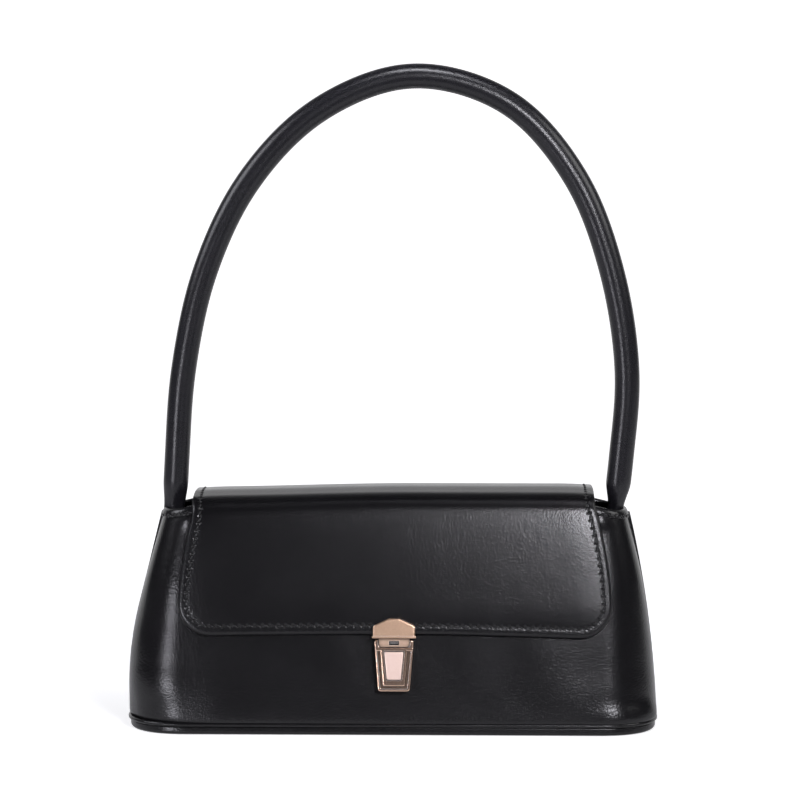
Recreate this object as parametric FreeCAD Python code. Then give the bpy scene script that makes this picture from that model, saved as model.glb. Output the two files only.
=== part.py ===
import FreeCAD, Part
import math
import os
from FreeCAD import Vector

os.makedirs("parts", exist_ok=True)

# All lengths are millimetres. The bag stands on z = 0, its front faces -Y and X runs along its length.

# Bag body: two soft panels on a rounded base, narrower at the mouth
base_length = 259.4
base_depth = 72.0
mouth_length = 228.0
mouth_depth = 36.0
body_height = 112.0
side_bulge = 3.0
base_corner_share = 0.83
mouth_corner_share = 0.88
section_shares = (0, 0.25, 0.5, 0.75, 1)

# Walls, hems and welts
panel_thickness = 1.3
lining_thickness = 0.7
layer_gap = 0.05
hem_thickness = 0.8
hem_drop = 4.5
welt_width = 2.2
welt_stand = 1.0

# Base tray, its board and the piping above it
base_rim_height = 3.8
base_floor = 1.4
base_wall = 1.6
base_edge_radius = 1.2
base_inset = 0.4
piping_diameter = 2.0
piping_inset = 0.9

# Slip pocket on the back lining
pocket_width = 130.0
pocket_height = 58.0
pocket_thickness = 0.8
pocket_foot = 30.0
pocket_corner_radius = 8.0

# Flap: sewn to the back, over the mouth and down the front
flap_side_margin = 15.8
flap_flare = 6.6
flap_end = 49.5
flap_corner_radius = 16.0
flap_rise = 2.6
flap_clearance = 0.6
flap_outer_thickness = 1.1
flap_board_thickness = 0.6
flap_lining_thickness = 0.6
flap_board_margin = 7.0
front_crease_radius = 4.0
back_crease_radius = 4.0
hinge_drop = 2.0
hinge_gap = 0.3
strip_length = 22.0
strip_corner_radius = 6.0

# Handle: a rolled tube in a leaning arch, pinched at both ends; the shares give the run of its middle
# line from right to left, across as shares of the span and up as shares of the rise
handle_inset = 5.0
pivot_stand = 6.0
handle_rise = 203.0
handle_shares = [
    (0.50, 0.35), (0.43, 0.61), (0.31, 0.85), (0.10, 0.99),
    (-0.15, 0.96), (-0.34, 0.78), (-0.45, 0.54), (-0.50, 0.27),
]
handle_tilt_angle = 4.2
handle_diameter = 12.0
handle_wall = 1.3
neck_length = 14.0
neck_diameter = 7.0
neck_bore = 2.0
knuckle_length = 6.0
tab_thickness = 3.6
tab_depth = 8.0
tab_length = 30.0
tab_top_share = 0.95
running_gap = 0.3

# Tuck lock, upper half on the flap
cap_width = 20.6
cap_lip_width = 21.4
cap_lip_height = 1.1
cap_lip_stand = 0.2
cap_height = 9.7
cap_side_height = 5.2
cap_shoulder_height = 6.4
cap_shoulder_inset = 0.7
cap_peak_width = 5.0
cap_depth = 3.4
cap_edge_radius = 0.7
cap_overhang = 2.0
tongue_width = 15.0
tongue_thickness = 1.2
tongue_root = 6.2
tongue_corner_radius = 1.6
window_width = 4.8
window_slack = 0.7
post_diameter = 2.0
post_spacing = 9.0
post_height = 4.6
hasp_plate_width = 17.0
hasp_plate_height = 5.0
hasp_plate_thickness = 0.7
plate_corner_radius = 1.5

# Tuck lock, lower half on the front panel
lock_gap = 0.8
lock_height = 24.9
lock_top_width = 19.2
lock_bottom_width = 15.3
lock_corner_radius = 1.4
lock_edge_radius = 0.45
lip_depth = 3.8
lip_thickness = 0.8
rim_width = 1.2
valley_depth = 0.6
frame_margin = 2.7
lip_bar_height = 1.5
frame_stand = 0.5
frame_edge = 0.35
mouth_clearance = 0.3
button_top_width = 9.6
button_bottom_width = 7.0
button_height = 13.6
button_drop = 1.9
button_stand = 0.5
button_corner_radius = 0.8
button_edge_radius = 0.5
button_gap = 0.35
flange_margin = 1.0
press_travel = 1.4
catch_thickness = 0.8
catch_width = 8.0
catch_reach = 3.8
pawl_width = 4.0
pawl_height = 0.9
pawl_depth = 0.6
spring_width = 3.0
spring_length = 9.0
spring_thickness = 0.25
spring_top_share = 0.3
lock_rivet_diameter = 1.8
lock_rivet_margin = 3.0
lock_back_width = 17.0
lock_back_thickness = 0.8

# How far cutting shapes run past what they cut, and the width of a touch
overrun = 400.0
touch = 0.001

# Lean of the front and back walls
lean = math.atan2((base_depth - mouth_depth) / 2, body_height)
lean_sin = math.sin(lean)
lean_cos = math.cos(lean)
front = -1
back = 1

# Levels that several pieces share; wall levels run along a wall (w) and out of it (n)
form_height = body_height + hem_thickness
wall_inset = panel_thickness + layer_gap + lining_thickness
panel_foot = base_rim_height + piping_diameter + 2 * layer_gap
flap_gap = hem_thickness + flap_clearance
flap_thickness = flap_lining_thickness + flap_board_thickness + flap_outer_thickness + 2 * layer_gap
flap_face = flap_gap + flap_thickness
flap_top = body_height + hem_thickness + flap_rise
crease_corner = (flap_top - flap_gap * lean_sin) / lean_cos
crease_level = crease_corner - front_crease_radius / math.tan(math.pi / 4 + lean / 2)
flap_top_width = mouth_length - 2 * flap_side_margin
flap_bottom_width = flap_top_width + 2 * flap_flare
hinge_height = body_height - hinge_drop
pivot_height = body_height + pivot_stand
handle_span = mouth_length - 2 * handle_inset
tongue_back = flap_face + layer_gap
tongue_front = tongue_back + tongue_thickness
flange_front = tongue_back - running_gap
flange_back = flange_front - catch_thickness
lock_plate_top = flange_back - press_travel - running_gap
lip_back = tongue_front + mouth_clearance
rim_front = lip_back + lip_thickness
cap_foot = flap_end - cap_overhang
lock_top = cap_foot - lock_gap
lock_foot = lock_top - lock_height
lip_level = lock_top - lip_depth
button_top = lip_level - button_drop
button_foot = button_top - button_height
flange_top = button_top + flange_margin
catch_top = flange_top + catch_reach


def frame_of(origin, across, up, out):
    """Frame with its own origin and three axes."""
    return FreeCAD.Placement(origin, FreeCAD.Rotation(across, up, out, "ZXY"))


def wall_frame(side):
    """Frame on the front or back wall: along the length, up the wall, out of the wall."""
    across = Vector(-side, 0, 0)
    up = Vector(0, -side * lean_sin, lean_cos)
    out = Vector(0, side * lean_cos, lean_sin)
    return frame_of(Vector(0, side * base_depth / 2, 0), across, up, out)


def side_frame():
    """Frame for side profiles: depth, height, then along the length."""
    return frame_of(Vector(), Vector(0, 1, 0), Vector(0, 0, 1), Vector(1, 0, 0))


def flat_frame():
    """The bag's own frame."""
    return FreeCAD.Placement()


def rounded_wire(points, radii, level):
    """Closed loop through corner points at one level, each corner rounded by its own radius."""
    edges = []
    ends = []
    for index, point in enumerate(points):
        corner = Vector(point[0], point[1], level)
        before = Vector(*points[index - 1], level) - corner
        after = Vector(*points[(index + 1) % len(points)], level) - corner
        before.normalize()
        after.normalize()
        half = before.getAngle(after) / 2
        radius = radii[index]
        if radius == 0:
            ends.append((corner, corner))
            continue
        start = corner + before * (radius / math.tan(half))
        finish = corner + after * (radius / math.tan(half))
        inward = before + after
        inward.normalize()
        centre = corner + inward * (radius / math.sin(half))
        edges.append(Part.Arc(start, centre - inward * radius, finish).toShape())
        ends.append((start, finish))
    for index in range(len(ends)):
        start = ends[index - 1][1]
        finish = ends[index][0]
        if start.distanceToPoint(finish) > touch:
            edges.append(Part.LineSegment(start, finish).toShape())
    return Part.Wire(Part.__sortEdges__(edges))


def square(points):
    """Radii that leave every corner of an outline sharp."""
    return [0 for point in points]


def prism(points, radii, low, high, frame):
    """Straight solid over a rounded outline between two levels of a frame."""
    solid = Part.Face(rounded_wire(points, radii, low)).extrude(Vector(0, 0, high - low))
    solid.Placement = frame
    return solid


def soft_prism(points, radii, low, high, edge_radius, frame):
    """Prism whose far edges are rounded."""
    solid = prism(points, radii, low, high, flat_frame())
    rim = [edge for edge in solid.Edges if edge.BoundBox.ZMin > high - touch]
    solid = solid.makeFillet(edge_radius, rim)
    solid.Placement = frame
    return solid


def profile_prism(points, radii, half, side):
    """Solid over a profile drawn out of and up a wall, run to both sides of the middle."""
    turn = frame_of(Vector(), Vector(0, 0, 1), Vector(0, 1, 0), Vector(-1, 0, 0))
    return prism(points, radii, -half, half, wall_frame(side).multiply(turn))


def inset_loop(points, inset):
    """Corner points of a counter-clockwise outline moved in by an equal margin."""
    moved = []
    for index, point in enumerate(points):
        corner = Vector(*point, 0)
        arrive = corner - Vector(*points[index - 1], 0)
        leave = Vector(*points[(index + 1) % len(points)], 0) - corner
        arrive.normalize()
        leave.normalize()
        turn = arrive.getAngle(leave)
        inward = Vector(-arrive.y - leave.y, arrive.x + leave.x, 0)
        inward.normalize()
        corner = corner + inward * (inset / math.cos(turn / 2))
        moved.append((corner.x, corner.y))
    return moved


def trapezoid(low_width, high_width, low, high):
    """Corners of an upright symmetric trapezoid."""
    return [(-low_width / 2, low), (low_width / 2, low), (high_width / 2, high), (-high_width / 2, high)]


def rod(diameter, x, w, low, high, frame):
    """Round rod that stands out of a wall frame."""
    solid = Part.makeCylinder(diameter / 2, high - low, Vector(x, w, low))
    solid.Placement = frame.multiply(solid.Placement)
    return solid


def bag_section(inset, height):
    """Rounded-rectangle section of the bag at one height, moved in by an inset."""
    share = height / body_height
    half_length = base_length / 2 + (mouth_length - base_length) / 2 * share
    half_length = half_length + 4 * side_bulge * share * (1 - share)
    half_depth = base_depth / 2 + (mouth_depth - base_depth) / 2 * share
    corner = half_depth * (base_corner_share + (mouth_corner_share - base_corner_share) * share)
    length = 2 * (half_length - inset)
    points = trapezoid(length, length, inset - half_depth, half_depth - inset)
    return rounded_wire(points, [corner - inset] * 4, height)


def bag_form(inset):
    """The bag's outer form from floor to hem, moved in by an inset."""
    return Part.makeLoft([bag_section(inset, share * form_height) for share in section_shares], True, False)


def room(side, low, high):
    """Box that holds the front or back half of everything between two heights."""
    corners = trapezoid(2 * overrun, 2 * overrun, min(side * overrun, 0), max(side * overrun, 0))
    return prism(corners, square(corners), low, high, flat_frame())


def wall(outer_inset, inner_inset, low, high, side):
    """Front or back half of the wall between two insets of the bag's form."""
    return bag_form(outer_inset).cut(bag_form(inner_inset)).common(room(side, low, high))


def lock_rivets(low, high, diameter):
    """The four rivets near the corners of the lock."""
    rods = []
    for w in (lock_foot + lock_rivet_margin, lock_top - lock_rivet_margin):
        for x in (lock_rivet_margin - lock_bottom_width / 2, lock_bottom_width / 2 - lock_rivet_margin):
            rods.append(rod(diameter, x, w, low, high, wall_frame(front)))
    return Part.makeCompound(rods)


def lock_holes():
    """Holes for the lock's rivets through all that they hold together."""
    return lock_rivets(-overrun, overrun, lock_rivet_diameter + 2 * layer_gap)


def front_panel():
    return wall(0, panel_thickness, panel_foot, body_height, front).cut(lock_holes())


def back_panel():
    return wall(0, panel_thickness, panel_foot, body_height, back)


def front_lining():
    outer = panel_thickness + layer_gap
    return wall(outer, wall_inset, panel_foot, body_height, front).cut(lock_holes())


def back_lining():
    return wall(panel_thickness + layer_gap, wall_inset, panel_foot, body_height, back)


def hem(side):
    """Binding folded over the top edge of one panel and its lining."""
    band = wall(-hem_thickness, wall_inset + hem_thickness, body_height - hem_drop, form_height, side)
    core = wall(-layer_gap, wall_inset + layer_gap, 0, body_height + layer_gap, side)
    return band.cut(core)


def side_welt(side):
    """Raised edge of the seam where the two panels meet at one end."""
    shell = bag_form(-welt_stand).cut(bag_form(-layer_gap))
    corners = trapezoid(overrun, overrun, -welt_width / 2, welt_width / 2)
    middle = side * overrun / 2
    corners = [(x + middle, y) for x, y in corners]
    high = body_height - hem_drop - layer_gap
    return shell.common(prism(corners, square(corners), panel_foot, high, flat_frame()))


def base_corners(inset):
    """Corner points and radii of the base outline moved in by an inset."""
    length = base_length - 2 * inset
    points = trapezoid(length, length, inset - base_depth / 2, base_depth / 2 - inset)
    return points, [base_depth / 2 * base_corner_share - inset] * 4


def base_panel():
    """Shallow leather tray with a rounded lower edge."""
    points, radii = base_corners(base_inset)
    tray = prism(points, radii, 0, base_rim_height, flat_frame())
    lower = [edge for edge in tray.Edges if edge.BoundBox.ZMax < touch]
    tray = tray.makeFillet(base_edge_radius, lower)
    points, radii = base_corners(base_inset + base_wall)
    return tray.cut(prism(points, radii, base_floor, base_rim_height + overrun, flat_frame()))


def base_board():
    points, radii = base_corners(base_inset + base_wall + layer_gap)
    return prism(points, radii, base_floor + layer_gap, base_rim_height, flat_frame())


def base_piping():
    """Round cord run along the base seam."""
    points, radii = base_corners(piping_inset)
    level = base_rim_height + layer_gap + piping_diameter / 2
    path = rounded_wire(points, radii, level)
    start = Vector(0, piping_inset - base_depth / 2, level)
    ring = Part.Wire(Part.makeCircle(piping_diameter / 2, start, Vector(1, 0, 0)))
    return path.makePipeShell([ring], True, False)


def base_lining():
    points, radii = base_corners(piping_inset + piping_diameter / 2 + running_gap)
    return prism(points, radii, base_rim_height + layer_gap, base_rim_height + lining_thickness, flat_frame())


def slip_pocket():
    """Flat pocket panel on the back lining."""
    high = -(wall_inset + layer_gap) * lean_cos
    points = trapezoid(pocket_width, pocket_width, pocket_foot, pocket_foot + pocket_height)
    radii = [pocket_corner_radius, pocket_corner_radius, 0, 0]
    return prism(points, radii, high - pocket_thickness, high, wall_frame(back))


def wall_point(side, w, n):
    """Depth and height of a point given along and out of a wall."""
    depth = side * (base_depth / 2 - w * lean_sin + n * lean_cos)
    return depth, w * lean_cos + n * lean_sin


def crease_point(side, offset):
    """Corner of the flap's side profile where its top meets the drop or the back."""
    n = flap_gap + offset
    return wall_point(side, (flap_top + offset - n * lean_sin) / lean_cos, n)


def flap_top_layer(low, high):
    """One layer of the flap's top, from the hinge over the mouth to the front crease."""
    foot = hinge_height + hinge_gap
    points = []
    for offset in (low, high):
        run = [wall_point(back, foot, flap_gap + offset), crease_point(back, offset)]
        run = run + [crease_point(front, offset), wall_point(front, crease_level, flap_gap + offset)]
        points = run + points[::-1]
    radii = [0, back_crease_radius + high, front_crease_radius + high, 0]
    radii = radii + [0, front_crease_radius + low, back_crease_radius + low, 0]
    return prism(points, radii, -flap_top_width / 2, flap_top_width / 2, side_frame())


def flap_front_layer(low, high, inset, top):
    """One layer of the flap's front, from the crease down to its rounded lower edge."""
    points = inset_loop(trapezoid(flap_bottom_width, flap_top_width, flap_end, crease_level), inset)
    points = points[:2] + [(points[2][0], top), (points[3][0], top)]
    radii = [flap_corner_radius - inset, flap_corner_radius - inset, 0, 0]
    return prism(points, radii, flap_gap + low, flap_gap + high, wall_frame(front)).cut(post_holes())


def hasp_posts(low, high, diameter):
    """The two posts that fix the tongue and cap to the flap."""
    level = cap_foot + post_height
    places = (-post_spacing / 2, post_spacing / 2)
    return Part.makeCompound([rod(diameter, x, level, low, high, wall_frame(front)) for x in places])


def post_holes():
    """Holes for the hasp's posts through the flap."""
    return hasp_posts(0, overrun, post_diameter + 2 * layer_gap)


def flap_top_leather():
    return flap_top_layer(flap_thickness - flap_outer_thickness, flap_thickness)


def flap_top_lining():
    return flap_top_layer(0, flap_lining_thickness)


def flap_front_leather():
    low = flap_thickness - flap_outer_thickness
    return flap_front_layer(low, flap_thickness, 0, crease_level - hinge_gap)


def flap_front_lining():
    return flap_front_layer(0, flap_lining_thickness, 0, crease_level - hinge_gap)


def flap_board():
    """Stiffener between the lining and the leather of the flap's front."""
    low = flap_lining_thickness + layer_gap
    top = crease_level - flap_board_margin
    return flap_front_layer(low, low + flap_board_thickness, flap_board_margin, top)


def flap_strip():
    """Tail of the flap sewn flat to the back panel."""
    foot = hinge_height - strip_length
    step = flap_gap - layer_gap
    low = (body_height - hem_drop) / lean_cos - 2 * step
    inner = [(layer_gap, foot), (layer_gap, low), (flap_gap, low + step), (flap_gap, hinge_height)]
    outer = [(n + flap_thickness, w) for n, w in inner[::-1]]
    half = flap_top_width / 2
    profile = inner + outer
    strip = profile_prism(profile, square(profile), half, back)
    points = trapezoid(2 * half, 2 * half, foot, hinge_height + overrun)
    radii = [strip_corner_radius, strip_corner_radius, 0, 0]
    return strip.common(prism(points, radii, -overrun, overrun, wall_frame(back)))


def handle_frame():
    """Frame of the arch: across, up along its tilted axis, and to the front."""
    tilt = math.radians(handle_tilt_angle)
    across = Vector(math.cos(tilt), 0, -math.sin(tilt))
    up = Vector(math.sin(tilt), 0, math.cos(tilt))
    return frame_of(Vector(0, 0, pivot_height), across, up, Vector(0, -1, 0))


def handle_ends():
    """Centres of the two pivots in the arch's frame, right then left."""
    tilt = math.radians(handle_tilt_angle)
    right = Vector(handle_span / 2 * math.cos(tilt), handle_span / 2 * math.sin(tilt), 0)
    return right, right * -1


def handle_path():
    """Middle line of the arch between the two necks, in the arch's frame."""
    right, left = [end + Vector(0, neck_length, 0) for end in handle_ends()]
    points = [Vector(across * handle_span, up * handle_rise, 0) for across, up in handle_shares]
    line = Part.BSplineCurve()
    line.interpolate([right] + points + [left], InitialTangent=Vector(0, 1, 0), FinalTangent=Vector(0, -1, 0))
    return Part.Wire(line.toShape())


def handle_tube(diameter):
    """Round tube along the arch between the two necks."""
    path = handle_path()
    start = path.Edges[0].Vertexes[0].Point
    ring = Part.Wire(Part.makeCircle(diameter / 2, start, Vector(0, 1, 0)))
    tube = path.makePipeShell([ring], True, False)
    tube.Placement = handle_frame()
    return tube


def handle_neck(end, low_diameter, high_diameter, drop):
    """Tapered end of the handle from a pivot up to the tube."""
    foot = end - Vector(0, drop, 0)
    cone = Part.makeCone(low_diameter / 2, high_diameter / 2, neck_length + drop, foot, Vector(0, 1, 0))
    cone.Placement = handle_frame().multiply(cone.Placement)
    return cone


def cross_roll(diameter, length, x):
    """Roll on the axis that the handle swings about, centred at one place along the bag."""
    return Part.makeCylinder(diameter / 2, length, Vector(x - length / 2, 0, pivot_height), Vector(1, 0, 0))


def handle_cover():
    """Rolled leather tube with two pinched ends."""
    inside = handle_diameter - 2 * handle_wall
    cover = handle_tube(handle_diameter)
    bores = [handle_tube(inside)]
    for end, x in zip(handle_ends(), (handle_span / 2, -handle_span / 2)):
        cover = cover.fuse(handle_neck(end, neck_diameter, handle_diameter, 0))
        cover = cover.fuse(cross_roll(neck_diameter, knuckle_length, x))
        bores.append(handle_neck(end, neck_bore, inside, neck_diameter))
    return cover.removeSplitter().cut(bores)


def handle_core():
    return handle_tube(handle_diameter - 2 * handle_wall - 2 * layer_gap)


def handle_tab(side):
    """Sewn tab inside one corner of the mouth, hollowed to carry the handle's roll."""
    high = pivot_height - neck_diameter / 2 * tab_top_share
    middle = side * handle_span / 2
    points = trapezoid(tab_thickness, tab_thickness, -tab_depth / 2, tab_depth / 2)
    points = [(x + middle, y) for x, y in points]
    block = prism(points, square(points), high - tab_length, high, flat_frame())
    return block.cut(cross_roll(neck_diameter + 2 * running_gap, overrun, middle))


def hasp_cap():
    """House-shaped cap with a lip along its foot and a pocket for the tongue."""
    half = cap_width / 2
    shoulder = half - cap_shoulder_inset
    right = [(half, cap_foot + cap_side_height), (shoulder, cap_foot + cap_shoulder_height)]
    right = right + [(cap_peak_width / 2, cap_foot + cap_height)]
    left = [(-x, w) for x, w in right[::-1]]
    points = [(-half, cap_foot), (half, cap_foot)] + right + left
    high = tongue_back + cap_depth
    radii = [0, 0] + [cap_shoulder_inset] * 6
    cap = soft_prism(points, radii, tongue_back, high, cap_edge_radius, wall_frame(front))
    lip_points = trapezoid(cap_lip_width, cap_lip_width, cap_foot, cap_foot + cap_lip_height)
    lip_corner = cap_lip_height / 4
    cap = cap.fuse(soft_prism(lip_points, [lip_corner] * 4, tongue_back, high + cap_lip_stand, lip_corner,
                              wall_frame(front)))
    pocket_half = tongue_width / 2 + layer_gap
    pocket_top = cap_foot + tongue_root + layer_gap
    pocket = [(-pocket_half, 0), (pocket_half, 0), (pocket_half, pocket_top), (-pocket_half, pocket_top)]
    return cap.cut(prism(pocket, square(pocket), 0, tongue_front + layer_gap, wall_frame(front)))


def hasp_tongue():
    """Tongue in the lock's open mouth, with a window for the catch."""
    points = trapezoid(tongue_width, tongue_width, lip_level + running_gap, cap_foot + tongue_root)
    tongue = prism(points, [tongue_corner_radius, tongue_corner_radius, 0, 0], tongue_back, tongue_front,
                   wall_frame(front))
    window_foot = catch_top - pawl_height - window_slack
    window = trapezoid(window_width, window_width, window_foot, catch_top + running_gap)
    return tongue.cut(prism(window, square(window), 0, overrun, wall_frame(front)))


def hasp_plate():
    """Plate behind the flap that the posts are closed over."""
    level = cap_foot + post_height
    points = trapezoid(hasp_plate_width, hasp_plate_width, level - hasp_plate_height / 2,
                       level + hasp_plate_height / 2)
    high = flap_gap - layer_gap
    plate = prism(points, [plate_corner_radius] * 4, high - hasp_plate_thickness, high, wall_frame(front))
    return plate.cut(post_holes())


def hasp_post_pair():
    return hasp_posts(flap_gap - layer_gap - hasp_plate_thickness, tongue_back - layer_gap, post_diameter)


def lock_outline():
    return trapezoid(lock_bottom_width, lock_top_width, lock_foot, lock_top)


def button_outline(margin):
    points = trapezoid(button_bottom_width, button_top_width, button_foot, button_top)
    return inset_loop(points, -margin)


def lock_band(low, high, margin):
    """Part of the housing's outline between two levels, moved in from its sides."""
    spread = (lock_top_width - lock_bottom_width) / lock_height
    widths = [lock_bottom_width + spread * (level - lock_foot) - 2 * margin for level in (low, high)]
    return trapezoid(*widths, low, high)


def lock_body():
    """Cast housing: rim, valley, raised frame, lip bar under the open mouth, chamber for the catch."""
    frame = wall_frame(front)
    low = lock_plate_top + layer_gap
    corners = [lock_corner_radius] * 4
    body = soft_prism(lock_outline(), corners, low, rim_front, lock_edge_radius, frame)
    floor = rim_front - valley_depth
    inner = inset_loop(lock_outline(), rim_width)
    bar_foot = lip_level - lip_bar_height
    inner = inner[:2] + [(inner[2][0], bar_foot), (inner[3][0], bar_foot)]
    body = body.cut(prism(inner, [rim_width / 2] * 4, floor, overrun, frame))
    high = rim_front + frame_stand
    corners = [rim_width / 2] * 4
    ridge = lock_band(lock_foot + frame_margin, lip_level - lip_bar_height / 2, frame_margin)
    body = body.fuse(soft_prism(ridge, corners, floor - valley_depth, high, frame_edge, frame))
    bar = lock_band(bar_foot, lip_level, 0)
    body = body.fuse(soft_prism(bar, square(bar), floor, high, frame_edge, frame))
    half = tongue_width / 2 + mouth_clearance
    mouth = [(-half, lip_level), (half, lip_level), (half, overrun), (-half, overrun)]
    radii = [tongue_corner_radius, tongue_corner_radius, 0, 0]
    body = body.cut(prism(mouth, radii, flange_front, overrun, frame))
    body = body.cut(prism(button_outline(button_gap), [button_corner_radius] * 4, 0, overrun, frame))
    flange_room = inset_loop(button_outline(0), -flange_margin - button_gap)
    body = body.cut(prism(flange_room, square(flange_room), 0, tongue_back, frame))
    width = catch_width + 2 * button_gap
    catch_room = trapezoid(width, width, button_foot, catch_top + button_gap)
    return body.cut(prism(catch_room, square(catch_room), 0, tongue_back, frame))


def lock_base():
    """Thin plate that closes the back of the housing."""
    plate = prism(lock_outline(), [lock_corner_radius] * 4, layer_gap, lock_plate_top, wall_frame(front))
    return plate.cut(lock_holes())


def lock_back_plate():
    """Plate inside the bag that the rivets are closed over."""
    high = -(wall_inset + layer_gap) * lean_cos
    points = trapezoid(lock_back_width, lock_back_width, lock_foot, lock_top)
    plate = prism(points, [lock_corner_radius] * 4, high - lock_back_thickness, high, wall_frame(front))
    return plate.cut(lock_holes())


def lock_rivet_set():
    low = -(wall_inset + layer_gap) * lean_cos - lock_back_thickness
    return lock_rivets(low, lock_plate_top, lock_rivet_diameter)


def lock_button():
    """Push button with a flange behind the housing's front wall."""
    frame = wall_frame(front)
    high = rim_front + frame_stand + button_stand
    corners = [button_corner_radius] * 4
    pad = soft_prism(button_outline(0), corners, flange_back, high, button_edge_radius, frame)
    flange = button_outline(flange_margin)
    return pad.fuse(prism(flange, square(flange), flange_back, flange_front, frame))


def lock_catch():
    """Blade above the button's flange with a pawl that stands in the tongue's window."""
    frame = wall_frame(front)
    blade = trapezoid(catch_width, catch_width, flange_top + layer_gap, catch_top)
    pawl = trapezoid(pawl_width, pawl_width, catch_top - pawl_height, catch_top)
    catch = prism(blade, square(blade), flange_back, flange_front, frame)
    return catch.fuse(prism(pawl, square(pawl), flange_back, tongue_back + pawl_depth, frame))


def lock_spring():
    """Bowed leaf spring between the base plate and the button's flange."""
    low = lock_plate_top + layer_gap
    high = flange_back - layer_gap
    middle = (button_top + button_foot) / 2
    half = spring_length / 2
    top = spring_length * spring_top_share / 2
    inner = [(low, middle - half), (high - spring_thickness, middle - top)]
    inner = inner + [(n, 2 * middle - w) for n, w in inner[::-1]]
    outer = [(n + spring_thickness, w) for n, w in inner[::-1]]
    bends = [0, spring_thickness, spring_thickness, 0]
    return profile_prism(inner + outer, bends * 2, spring_width / 2, front)


nodes = {
    "front_panel": front_panel(),
    "back_panel": back_panel(),
    "front_lining": front_lining(),
    "back_lining": back_lining(),
    "front_hem": hem(front),
    "back_hem": hem(back),
    "side_welt_left": side_welt(-1),
    "side_welt_right": side_welt(1),
    "base_panel": base_panel(),
    "base_board": base_board(),
    "base_piping": base_piping(),
    "base_lining": base_lining(),
    "slip_pocket": slip_pocket(),
    "flap_strip": flap_strip(),
    "flap_top_leather": flap_top_leather(),
    "flap_top_lining": flap_top_lining(),
    "flap_front_leather": flap_front_leather(),
    "flap_front_lining": flap_front_lining(),
    "flap_board": flap_board(),
    "handle_cover": handle_cover(),
    "handle_core": handle_core(),
    "handle_tab_left": handle_tab(-1),
    "handle_tab_right": handle_tab(1),
    "hasp_cap": hasp_cap(),
    "hasp_tongue": hasp_tongue(),
    "hasp_plate": hasp_plate(),
    "hasp_posts": hasp_post_pair(),
    "lock_body": lock_body(),
    "lock_base": lock_base(),
    "lock_back_plate": lock_back_plate(),
    "lock_rivets": lock_rivet_set(),
    "lock_button": lock_button(),
    "lock_catch": lock_catch(),
    "lock_spring": lock_spring(),
}

for name, shape in nodes.items():
    shape.exportStep("parts/" + name + ".step")
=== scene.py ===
import math

import bmesh
import bpy
import numpy as np
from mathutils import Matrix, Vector


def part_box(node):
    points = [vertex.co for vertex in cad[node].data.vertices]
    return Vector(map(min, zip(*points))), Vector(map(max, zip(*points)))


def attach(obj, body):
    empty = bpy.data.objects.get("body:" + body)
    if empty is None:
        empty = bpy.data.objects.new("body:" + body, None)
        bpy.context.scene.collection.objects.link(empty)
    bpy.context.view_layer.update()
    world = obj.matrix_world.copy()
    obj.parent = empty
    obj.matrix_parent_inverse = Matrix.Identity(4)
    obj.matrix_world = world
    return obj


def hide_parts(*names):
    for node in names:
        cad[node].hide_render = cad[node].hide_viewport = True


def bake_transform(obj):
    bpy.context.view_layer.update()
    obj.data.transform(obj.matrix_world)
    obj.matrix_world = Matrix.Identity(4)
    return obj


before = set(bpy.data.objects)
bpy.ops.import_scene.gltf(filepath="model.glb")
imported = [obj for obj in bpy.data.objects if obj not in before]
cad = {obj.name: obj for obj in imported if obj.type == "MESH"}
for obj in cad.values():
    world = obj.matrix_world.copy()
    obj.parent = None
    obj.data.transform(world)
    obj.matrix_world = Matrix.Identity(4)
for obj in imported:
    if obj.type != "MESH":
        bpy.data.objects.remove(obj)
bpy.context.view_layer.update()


# Base
# The bag stands on a shallow tray: a board wrapped in smooth coated leather,
# with a leather-covered cord (piping) caught in the seam where the walls begin.

mm = 0.001
body_height = 112.0 * mm
base_half_length = 129.7 * mm
base_half_depth = 36.0 * mm
mouth_half_length = 114.0 * mm
mouth_half_depth = 18.0 * mm
side_belly = 12.0 * mm
left_slump = 1.9 * mm
left_slump_start = 40.0 * mm
left_belly = 3.0 * mm
left_belly_share = 0.36
left_belly_reach_share = 0.28
corner_shares = (0.83, 0.88)
corner_softness = 2.25
front_share = 0.56
seam_share = 0.92
weld_distance = 0.005 * mm


def between(low, high, share):
    """Value at a share of the way from low to high."""
    return low + (high - low) * share


def ease(value, low, high):
    """Smooth step from 0 at low to 1 at high."""
    share = np.clip((value - low) / (high - low), 0.0, 1.0)
    return share * share * (3 - 2 * share)


def rise_and_fall(value, start, full, fading, end):
    """Smooth step up between the first two places and down between the last two."""
    return ease(value, start, full) * ease(value, end, fading)


def swell(away, width):
    """Rounded rise of 1 that fades out with the distance from its middle."""
    return np.exp(-((away / width) ** 2))


def outline(height, inset, share, side):
    """Points of the bag's wall: share runs -1 to 1 from the left seam over the middle to the right seam."""
    rise = height / body_height
    length = between(base_half_length, mouth_half_length, rise) + side_belly * rise * (1 - rise) - inset
    depth = between(base_half_depth, mouth_half_depth, rise) - inset
    corner = (depth + inset) * between(*corner_shares, rise) - inset
    along = np.abs(share)
    turn = np.clip((along - front_share) / (seam_share - front_share), 0.0, 1.0) * math.pi / 2
    power = 2 / corner_softness
    x = np.where(
        along <= front_share,
        (length - corner) * along / front_share,
        length - corner + corner * np.sin(turn) ** power,
    )
    y = depth - corner + corner * np.clip(np.cos(turn), 0.0, 1.0) ** power
    y = np.where(along <= seam_share, y, (depth - corner) * (1 - along) / (1 - seam_share))
    fuller = left_slump * (1 - rise) + left_belly * swell(rise - left_belly_share, left_belly_reach_share)
    x = x + np.where(share < 0, fuller, 0.0) * ease(x, left_slump_start, base_half_length)
    return np.stack([np.sign(share) * x, side * y, height + 0 * x], axis=-1)


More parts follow.
